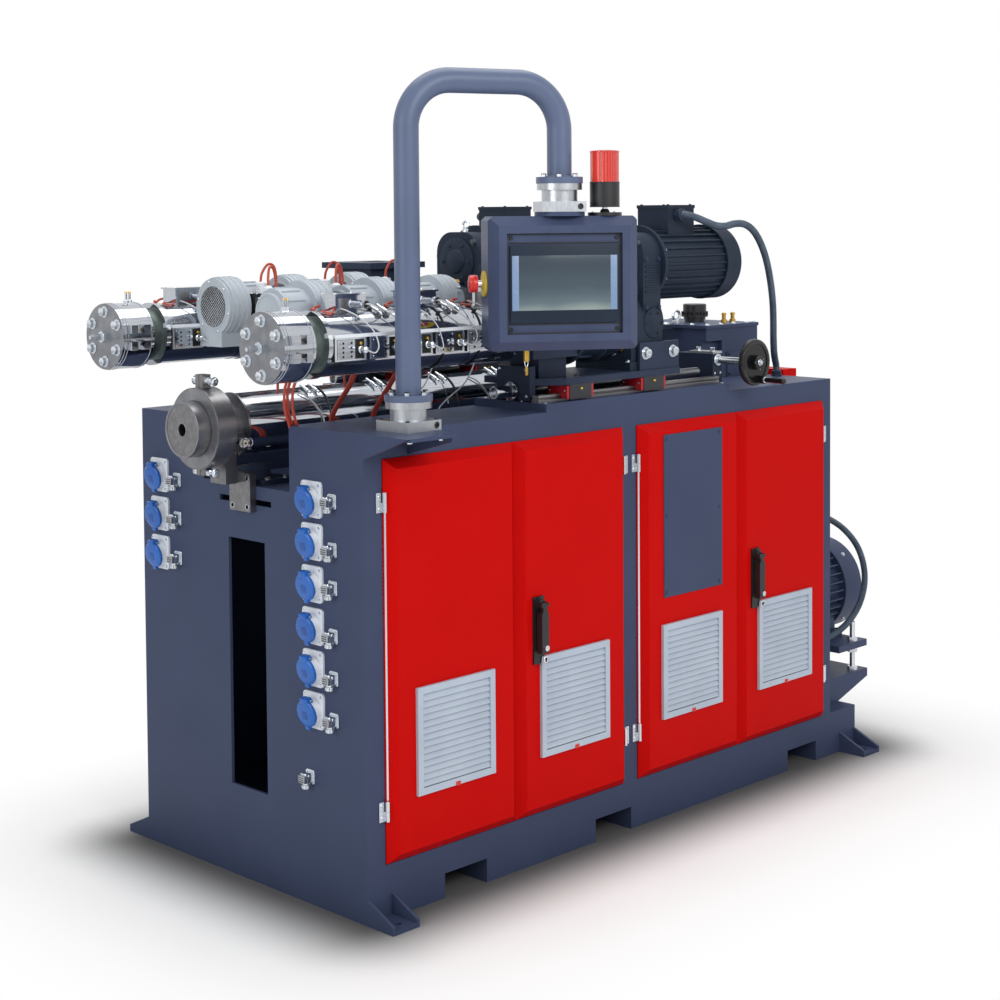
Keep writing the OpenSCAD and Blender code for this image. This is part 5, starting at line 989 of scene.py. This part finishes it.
def slide_trim(k, y, s):
    """Screws of carriage, rails and handwheel; s points away from the middle of the machine."""
    side = (0, s, 0)
    g = Geo()
    for x in (985, 1095):
        g.ring((x, y + s * 105.2, 1228), side, 12, 16.5, 2, "zinc", 32)
        g.cap_screw((x, y + s * 114.6, 1228), side, 11.6, 3)
    for p in wheel((590, y, SLIDE_Z), X, 18.6, 6):
        g.cap_screw(p, NX, 2.9, 2.4)
    g.ring((530.6, y, SLIDE_Z), X, 12.3, 15.6, 6, "zinc", 32)
    g.ring((582, y, SLIDE_Z), X, 14.2, 17, 5, "machined", 32)
    for p in spots((700, 758, 983, 1041), (y - 84, y - 66, y + 66, y + 84), 1184):
        g.cap_screw(p, Z, 4.6, 1.6, "black_plastic")
    for p in spots(600, (y - 46, y + 46), (1206, 1140)):
        g.cap_screw(p, NX, 4.4, 2.2)
    for x in (680, 963):
        for e, d in ((x, -1), (x + 98, 1)):
            for b in (-100, -50, 50, 100):
                g.cap_screw((e, y + b, SLIDE_Z), (d, 0, 0), 2.8, 1.4)
        for d in (-1, 1):
            g.lathe((x + 49, y + d * 110, 1156), (0, d, 0), [(0, 3), (2, 3), (3, 1.8), (5, 2.6), (6, 1)],
                    "brass", 10)
    g.make(k + "_slide_trim", k + "_unit", "bright_steel")
    g = Geo()
    for x, b in product(range(620, 1310, 60), (y - 75, y + 75)):
        # Holes in the rails: near-black discs as painted shade
        g.lathe((x, b, 1145), Z, [(-1, 6.2), (0.14, 6.2), (0.14, 0)], "painted_shade_black", 20)
        g.ring((x, b, 1144.4), Z, 6.2, 7.2, 0.75, "zinc", 20)
    for p in spots((606, 1306), (y - 104, y - 24, y + 24, y + 104), 1127):
        g.cap_screw(p, Z, 4.4, 2)
    for p in spots((1334, 1358), y + s * 57, (1120, 1150)):
        g.cap_screw(p, side, 3.6, 1.8)
    g.ring((WHEEL_X, y + s * 57, WHEEL_Z), side, 10.2, 16.5, 5, "zinc", 36)
    for b in (-13, 35):
        g.lathe((1352, y + s * b, 1209), Z, [(0, 7), (9, 7), (10, 6)], "zinc", 6)
    g.make(k + "_rail_trim", "base", "bright_steel")
    g = Geo()
    g.tube(wheel((WHEEL_X, y + s * 183, WHEEL_Z), Y, 56, 20), 7.3, "black_gloss", 12, 3, close=True)
    g.lathe((WHEEL_X, y + s * 200.6, WHEEL_Z), side, [(0, 18.4), (1.6, 17.6), (2, 12), (2, 0)],
            "black_gloss", 36)
    g.bolt((WHEEL_X, y + s * 202, WHEEL_Z), side, 7, 6)
    g.ring((WHEEL_X, y + s * 165.5, WHEEL_Z), side, 10.4, 15, 8, "zinc", 32)
    x, z = WHEEL_X + 20, WHEEL_Z - 48
    g.lathe((x, y + s * 267, z), side, [(-3, 8.4), (0, 8), (2.6, 6.2), (3.4, 0)], "black_plastic", 28)
    g.lathe((x, y + s * 203, z), side, [(-2, 8.4), (2, 8.4), (3, 6.4)], "zinc")
    g.make(k + "_wheel_trim", k + "_handwheel", "black_plastic")


def far_sill():
    g = Geo()
    for lo, hi in ((40, 885), (913, 1763)):
        g.box((lo, 848.2, 119), (hi, 850.6, 143), "slate", 0.6)
        for j in range(5):
            g.dome((lo + 30 + (hi - lo - 60) * j / 4, 850.6, 130), Y, 4, 2)
    g.make("far_panel_sill", "base", "slate_paint")


def hose(name, path, body=None):
    g = Geo()
    g.tube(path, 10, "conduit", 14, 8, 0.13, 4.4)
    return g.make(name, body, "rubber_black")


def conduits():
    for k, (y, s) in UNITS.items():
        c = y + s * 53
        o = hose(k + "_hose", placed(0, y, UNIT_PATH, s))
        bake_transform(o)
        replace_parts(o, k + "_conduit")
        g = Geo()
        g.lathe((1770, c, 1107), Z, [(-2, 17), (4, 17), (5, 15.6)], "slate_dark", 6)
        g.lathe((1770, c, 1112), Z, [(0, 13), (2, 14), (9, 14), (12, 11.4)], "slate_dark")
        g.make(k + "_deck_gland", "base", "black_plastic")
    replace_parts(hose("main_hose", MAIN_PATH, "base"), "main_conduit")
    g = Geo()
    g.lathe((1960, 262, 619), Z, [(0, 18), (6, 18), (7, 16)], "slate_dark", 6)
    g.lathe((1797, 82, 312), X, [(-2, 17), (4, 17), (5, 15)], "slate_dark", 6)
    for at, axis in (((1960, 262, 625), Z), ((1801, 82, 312), X)):
        g.lathe(at, axis, [(0, 13.4), (8, 13.4), (11, 11.4)], "slate_dark")
    g.make("hose_glands", "base", "black_plastic")


def main_trim():
    """Fittings of the low extruder: nose clamp, heater plug, ties and clamps, saddle bolts."""
    y, z = MID_Y, MAIN_Z
    g = Geo()
    for x, r_in, r_out, t, seg in ((-181.2, 14.6, 19, 1.6, 40), (-182, 60, 64.8, 3, 72), (-145.8, 66, 92, 1.4, 84)):
        g.ring((x, y, z), X, r_in, r_out, t, "turned", seg)
    for (b, axis), h in product(((-44, NY), (29, Y)), (1210, 997.5)):
        g.bolt((-119.5, y + b, h), axis, 8.6, 6)
    g.ring((-119.5, y - 46, 1210), NY, 3, 7.6, 4, "zinc", 20)
    for p in spots(-18.9, (y - 28, y + 28), (905, 973)):
        g.ring(p, X, 5.1, 7, 1, "zinc", 24)
    g.make("nose_trim", "base", "bright_steel")
    g = Geo()
    cx, cz = -76, 1069
    for x in (cx - 7, cx + 7):
        g.ring((x, 323, cz), NY, 8.4, 11.4, 7, "polished", 24)
    g.box((cx - 9, 318, cz - 9.6), (cx + 9, 324, cz + 9.6), "cream_plastic", 2)
    for x in (cx - 5, cx + 5):
        # Pin holes: near-black as painted shade
        g.lathe((x, 318, cz), NY, [(0, 2), (4.6, 2), (5.4, 1.2), (5.4, 0)], "painted_shade_black", 12)
    g.box((cx - 15, 344, cz - 22), (cx + 15, 348, cz + 22), "black_dull", 2)
    g.make("nose_plug", "base", "bright_steel")
    g = Geo()
    for x in (205, 420, 632):
        cable_tie(g, (x, y, z), 1.8)
    for x in (130, 700):
        g.tube(placed(x, y, [(0, -40, 1166), (20, -58, 1152), (46, -76, 1110), (52, -80, 1060), (56, -74, 1010)]),
               1.8, "lead", 8)
    g.make("main_ties", "base", "black_plastic")
    g = Geo()
    for x, d in product((160, 372, 585, 790), (0, 26)):
        band_clamp(g, (x + d, y, z), 79.4, 22, [(0, 2.4), (1, 3.2), (18, 3.2), (18.5, 4.6), (34, 4.6),
                                                (34.5, 3), (43, 3), (44, 2)], 12)
    g.make("main_band_clamps", "base", "bright_steel")
    g = Geo()
    for places, b, h, r in (((40, 96), 33, 965, 8), ((1410, 1490), 82, 953, 8), ((915, 945), 60, 953, 7),
                            ((1398, 1502), 52, 1265, 7)):
        for p in spots(places, (y - b, y + b), h):
            g.bolt(p, Z, r, r - 1)
    g.make("saddle_bolts", "base", "zinc_plate")


def heater_cables():
    g = Geo()
    pair = ((0, 0), (13, 3))
    for strands, path in (
            (pair + ((20, -7),), [(-104, 132, 1228), (-84, 168, 1196), (-46, 214, 1150), (-6, 250, 1112),
                                  (30, 284, 1074), (60, 300, 1010)]),
            (pair, [(92, 136, 1231), (104, 170, 1196), (118, 224, 1152), (130, 262, 1116), (146, 286, 1074),
                    (170, 300, 1000)]),
            (pair, [(228, 136, 1231), (238, 176, 1192), (250, 228, 1146), (262, 264, 1112), (276, 284, 1072),
                    (300, 300, 1000)])):
        for dx, dy in strands:
            g.tube([(x + dx * (1 - 0.07 * i), y + dy, z) for i, (x, y, z) in enumerate(path)], 3.4, "red_rubber")
    for x in (330, 470):
        g.tube(placed(x, 0, [(0, 124, 1230), (4, 160, 1180), (10, 236, 1130), (16, 272, 1100), (20, 290, 1050)]),
               1.8, "white_plastic", 8)
    o = g.make("heater_cables", None, "red_plastic")
    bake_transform(o)


def gearbox_trim():
    g = Geo()
    for p in [*spots((1578, 1640, 1702, 1764, 1800), (279, 569), 1261), *spots(1571, (330, 424, 518), 1261)]:
        g.bolt(p, Z, 6.4, 5)
    for x, y in ((1612, 424), (1780, 500)):
        g.lathe((x, y, 1261), Z, [(0, 13), (7, 13), (8, 11)], "zinc", 28)
        g.eye((x, y, 1284), Y, 15, 4.2)
    for x, y, z in wheel((1700, 424, 1279), Z, 38, 20):
        g.box((x - 1.8, y - 1.8, z), (x + 1.8, y + 1.8, z + 14), "black_plastic", 0.6)
    g.lathe((1700, 424, 1313), Z, [(0, 35), (2.4, 33), (3, 0)], "black_plastic", 40)
    for x in (1722, 1764):
        g.lathe((x, 330, 1261), Z, [(0, 10), (9, 10), (10, 8)], "brass", 6)
        g.lathe((x, 330, 1284), Z, [(0, 7.4), (5, 7.4), (7, 4), (7.5, 0)], "brass", 20)
    g.make("gearbox_bolts", "base", "zinc_plate")
    g = Geo()
    g.box((1660, 269, 1050), (1790, 274, 1180), "slate", 2)
    for p in spots((1668, 1782), 269, (1058, 1115, 1172)):
        g.cap_screw(p, NY, 4.4, 2.6, "black_plastic")
    g.lathe((1600, 274, 960), NY, [(0, 22), (5, 22), (7, 19), (7, 13), (5, 12), (5, 0)], "brass", 36)
    g.lathe((1600, 269.4, 960), NY, [(0, 11.6), (0.8, 11), (0.8, 0)], "display", 28)
    g.lathe((1750, 274, 860), NY, [(0, 12), (7, 12), (8, 10)], "brass", 6)
    g.make("gearbox_cover", "base", "slate_paint")


def drive_trim():
    """Belt guard and main motor."""
    g = Geo()
    for y, z in ((190, 340), (262, 340), (335, 340), (655, 770), (655, 880), (655, 1000), (655, 1112), (540, 1112),
                 (424, 1112), (300, 1112), (190, 1112), (190, 980), (190, 840), (190, 700), (190, 560), (190, 450),
                 (474, 544), (569, 674)):
        g.dome((1880, y, z), X, 5, 3)
    for z in range(860, 1058, 22):
        g.box((1879.4, 300, z), (1883, 548, z + 8), "red", 1.6)
        # Between the louvre bars: near-black strips as painted shade in the slots
        g.box((1879.6, 300, z - 4), (1880.4, 548, z - 0.4), "painted_shade_black", 0.2)
    g.box((1879.2, 186, 1117), (1882, 660, 1121), "red", 0.8)
    g.make("guard_trim", "base", "red_paint")
    g = Geo()
    y, z = MOTOR_Y, MOTOR_Z
    for p in spots((1918, 2002), (y - 48, y + 48), 621):
        g.cap_screw(p, Z, 4, 3, "black_plastic")
    g.box((1908.6, y - 57.4, 606), (2011.4, y + 57.4, 608), "black_dull", 0.5)
    g.ring((2057, y, z), X, 135, 141.8, 4, "slate", 84)
    fan_grille(g, (2137.6, y, z), 2139, 10, 132, (30, 50, 70, 90, 110, 126), 1.8, "slate", 72)
    for x, b, h in wheel((2100, y, z), X, 141, 4, 45):
        g.bolt((x, b, h), (0, b - y, h - z), 5, 4)
    for p in spots((1966, 2042), (y - 118, y + 118), 305):
        g.bolt(p, Z, 9, 8)
    for x, axis in ((1931, NX), (2069, X)):
        g.dome((x, 474, 277), axis, 7, 3)
    g.make("motor_trim", "base", "slate_paint")


def gear_behind_doors():
    """Drives, contactors, ducts and wiring on the mounting plate, and the seals of the doors."""
    g = Geo()
    for x in (136 + 130 * i for i in range(5)):
        g.box((x + 6, 318.6, 640), (x + 112, 323, 846), "grey_plastic", 2.5)
        g.box((x + 24, 316.8, 760), (x + 94, 319.2, 826), "black_dull", 1.5)
        g.box((x + 34, 315.9, 790), (x + 84, 317.2, 816), "display", 0.6)
        for a in (x + 34, x + 52, x + 70):
            g.box((a, 315.4, 768), (a + 12, 317.2, 780), "grey_plastic", 0.8)
        for z in range(652, 732, 10):
            g.box((x + 14, 317.6, z), (x + 104, 319, z + 4), "black_dull", 0.4)
        for q in range(6):
            g.lathe((x + 24 + 14 * q, 330, 620), NZ, [(-2, 4.6), (4, 4.6), (5, 3.6)], "black_plastic", 12)
    g.make("drive_faces", "base", "grille_plastic")
    g = Geo()
    tint = ("cream_plastic", "black_dull", "blue_plastic")
    for (r, z), i in product(enumerate((487.5, 347.5)), range(13)):
        x = 136 + 49 * i
        g.box((x + 3, 345.4, z - 22), (x + 39, 349, z + 22), tint[(i // 4 + r) % 3], 1.2)
        for p in spots((x + 9, x + 21, x + 33), 350, (z - 35, z + 35)):
            g.lathe(p, NY, [(-1, 3.8), (2, 3.8), (2.4, 3), (1.2, 2.6), (1.2, 0)], "zinc", 12)
    g.make("contactor_faces", "base", "grille_plastic")
    g = Geo()
    for z in (550, 404, 232):
        for x in (144 + 16.2 * j for j in range(40)):
            # Duct slots: near-black boxes as painted shade
            g.box((x, 366.8, z + 8), (x + 5, 368.4, z + 32), "painted_shade_black", 0.2)
        for low in (z - 0.6, z + 37.4):
            g.box((136, 366, low), (796, 368.6, low + 3.2), "grey_plastic", 0.6)
    g.make("duct_slots", "base", "grille_plastic")
    g = Geo()
    wires = ("black_plastic", "blue_plastic", "red_rubber")
    for i, q in product(range(13), range(3)):
        for a, b, c, (y, d) in ((520, 528, 540, (352, 552)), (455, 449, 443, (352, 436)),
                                (380, 388, 398, (352, 408)), (315, 306, 290, (354, 268))):
            end = 366 if y == 352 else 370
            g.tube(placed(145 + 49 * i + 12 * q, 0, [(0, 353, a), (0, 348, b), (0, y, c), (3, end, d)]),
                   1.7, wires[q], 6, 5)
    for i, q in product(range(5), range(6)):
        g.tube(placed(160 + 130 * i + 14 * q, 0, [(0, 330, 618), (0, 334, 606), (0, 352, 596), (2, 370, 588)]),
               2.2, wires[q % 3], 6, 5)
    g.make("control_wires", "base", "black_plastic")
    for i, (x, w) in enumerate(((55.4, 413.1), (470, 400.2), (928.4, 411.2), (1341.1, 407.2))):
        g = Geo()
        for x0, x1, z0, z1 in ((7, 13, 134, 1040), (w - 13, w - 7, 134, 1040), (13, w - 13, 134, 140),
                               (13, w - 13, 1034, 1040)):
            g.box((x + x0, -4.6, z0), (x + x1, -1.4, z1), "rubber", 1.2)
        g.make("door_%d_seal" % (i + 1), "door_%d" % (i + 1), "rubber_black")


for unit, (side, inner) in UNITS.items():
    head_trim(unit, side)
    shroud_trim(unit, side, inner)
    thrust_housing(unit, side)
    blower_trim(unit, side, inner)
    gear_trim(unit, side, -inner)
far_sill()
for unit, (side, inner) in UNITS.items():
    slide_trim(unit, side, -inner)
conduits()
main_trim()
heater_cables()
gearbox_trim()
drive_trim()
gear_behind_doors()


# Set: white floor with a painted shadow round the base, fading into a white surround; soft studio lamps
# Half length and half width of the base in metres; the floor is flat, so its height drops out
FOOTPRINT = (0.962, 0.424, 1.0)
WORLD_LIGHT = 0.5


def floor_paint():
    """White paint, darkened under and close to the base as a painted shadow, that fades to plain white further out.
    """
    m = Mat("floor_paint", "#ffffff", 0.6)
    m.colour(m.noise(3, 2), [(0.3, "#fbfbfb"), (0.7, "#ffffff")])
    far = m.co
    for op, values in (("ABSOLUTE", {}), ("SUBTRACT", {1: FOOTPRINT}), ("MAXIMUM", {1: (0, 0, 0)}), ("LENGTH", {})):
        step = m.node("ShaderNodeVectorMath", {0: far, **values}, operation=op)
        far = step.outputs["Value" if op == "LENGTH" else "Vector"]
    # The first ramp darkens the floor's colour to 0.13 under the base and back to white 0.3 m out: a painted contact
    # shadow. The second fades in the plain white further out.
    painted_shadow, fade = [m.node("ShaderNodeMapRange", {"From Max": reach, "To Min": low, "Value": far},
                           interpolation_type="SMOOTHSTEP").outputs["Result"]
                    for reach, low in ((0.3, 0.13), (0.75, 0.0))]
    shade = m.node("ShaderNodeMix", {"Factor": 1.0, "A": m.b.inputs["Base Color"].links[0].from_socket, "B": painted_shadow},
                   data_type="RGBA", blend_type="MULTIPLY")
    m.fill(m.b, {"Base Color": shade.outputs["Result"], "Specular IOR Level": 0.0})
    # Only what the camera sees turns to plain white; the light from the floor stays diffuse
    seen = m.node("ShaderNodeLightPath").outputs["Is Camera Ray"]
    gate = m.node("ShaderNodeMath", {0: fade, 1: seen}, operation="MULTIPLY")
    white = m.node("ShaderNodeEmission", {"Color": (1, 1, 1, 1)})
    mix = m.node("ShaderNodeMixShader", {0: gate.outputs[0], 1: m.b.outputs[0], 2: white.outputs[0]})
    m.fill(m.t.nodes["Material Output"], {"Surface": mix.outputs[0]})
    return m.m


def add_floor():
    me = bpy.data.meshes.new("floor")
    bm = bmesh.new()
    bmesh.ops.create_grid(bm, x_segments=8, y_segments=8, size=14)
    bm.to_mesh(me)
    bm.free()
    me.materials.append(floor_paint())
    floor = bpy.data.objects.new("floor", me)
    bpy.context.scene.collection.objects.link(floor)


def add_world():
    """White surround: dim as light, full in reflections and behind the machine."""
    w = bpy.data.worlds.new("world")
    bpy.context.scene.world = w
    w.use_nodes = True
    t = w.node_tree
    rays = t.nodes.new("ShaderNodeLightPath")
    sky = t.nodes["Background"]
    last = None
    for ray in ("Is Glossy Ray", "Is Transmission Ray", "Is Camera Ray"):
        strength = t.nodes.new("ShaderNodeMapRange")
        strength.inputs["To Min"].default_value = WORLD_LIGHT
        t.links.new(rays.outputs[ray], strength.inputs["Value"])
        if last:
            t.links.new(last, strength.inputs["To Min"])
        last = strength.outputs["Result"]
    t.links.new(last, sky.inputs["Strength"])
    sky.inputs["Color"].default_value = (1, 1, 1, 1)


def lamp(name, at, target, size, watt):
    d = bpy.data.lights.new(name, "AREA")
    d.shape = "RECTANGLE"
    d.size, d.size_y = size
    d.energy = watt
    o = bpy.data.objects.new(name, d)
    bpy.context.scene.collection.objects.link(o)
    o.location = at
    o.rotation_euler = (Vector(target) - Vector(at)).to_track_quat("-Z", "Y").to_euler()


add_floor()
add_world()
lamp("key", (-1.0, -4.6, 3.4), (0.2, -0.3, 0.6), (3.0, 2.0), 100)
lamp("front", (-5.0, -0.4, 2.4), (-0.6, 0, 0.8), (2.4, 2.4), 48)
lamp("top", (0.2, 0.4, 4.6), (0, 0, 1), (3.4, 2.4), 62)
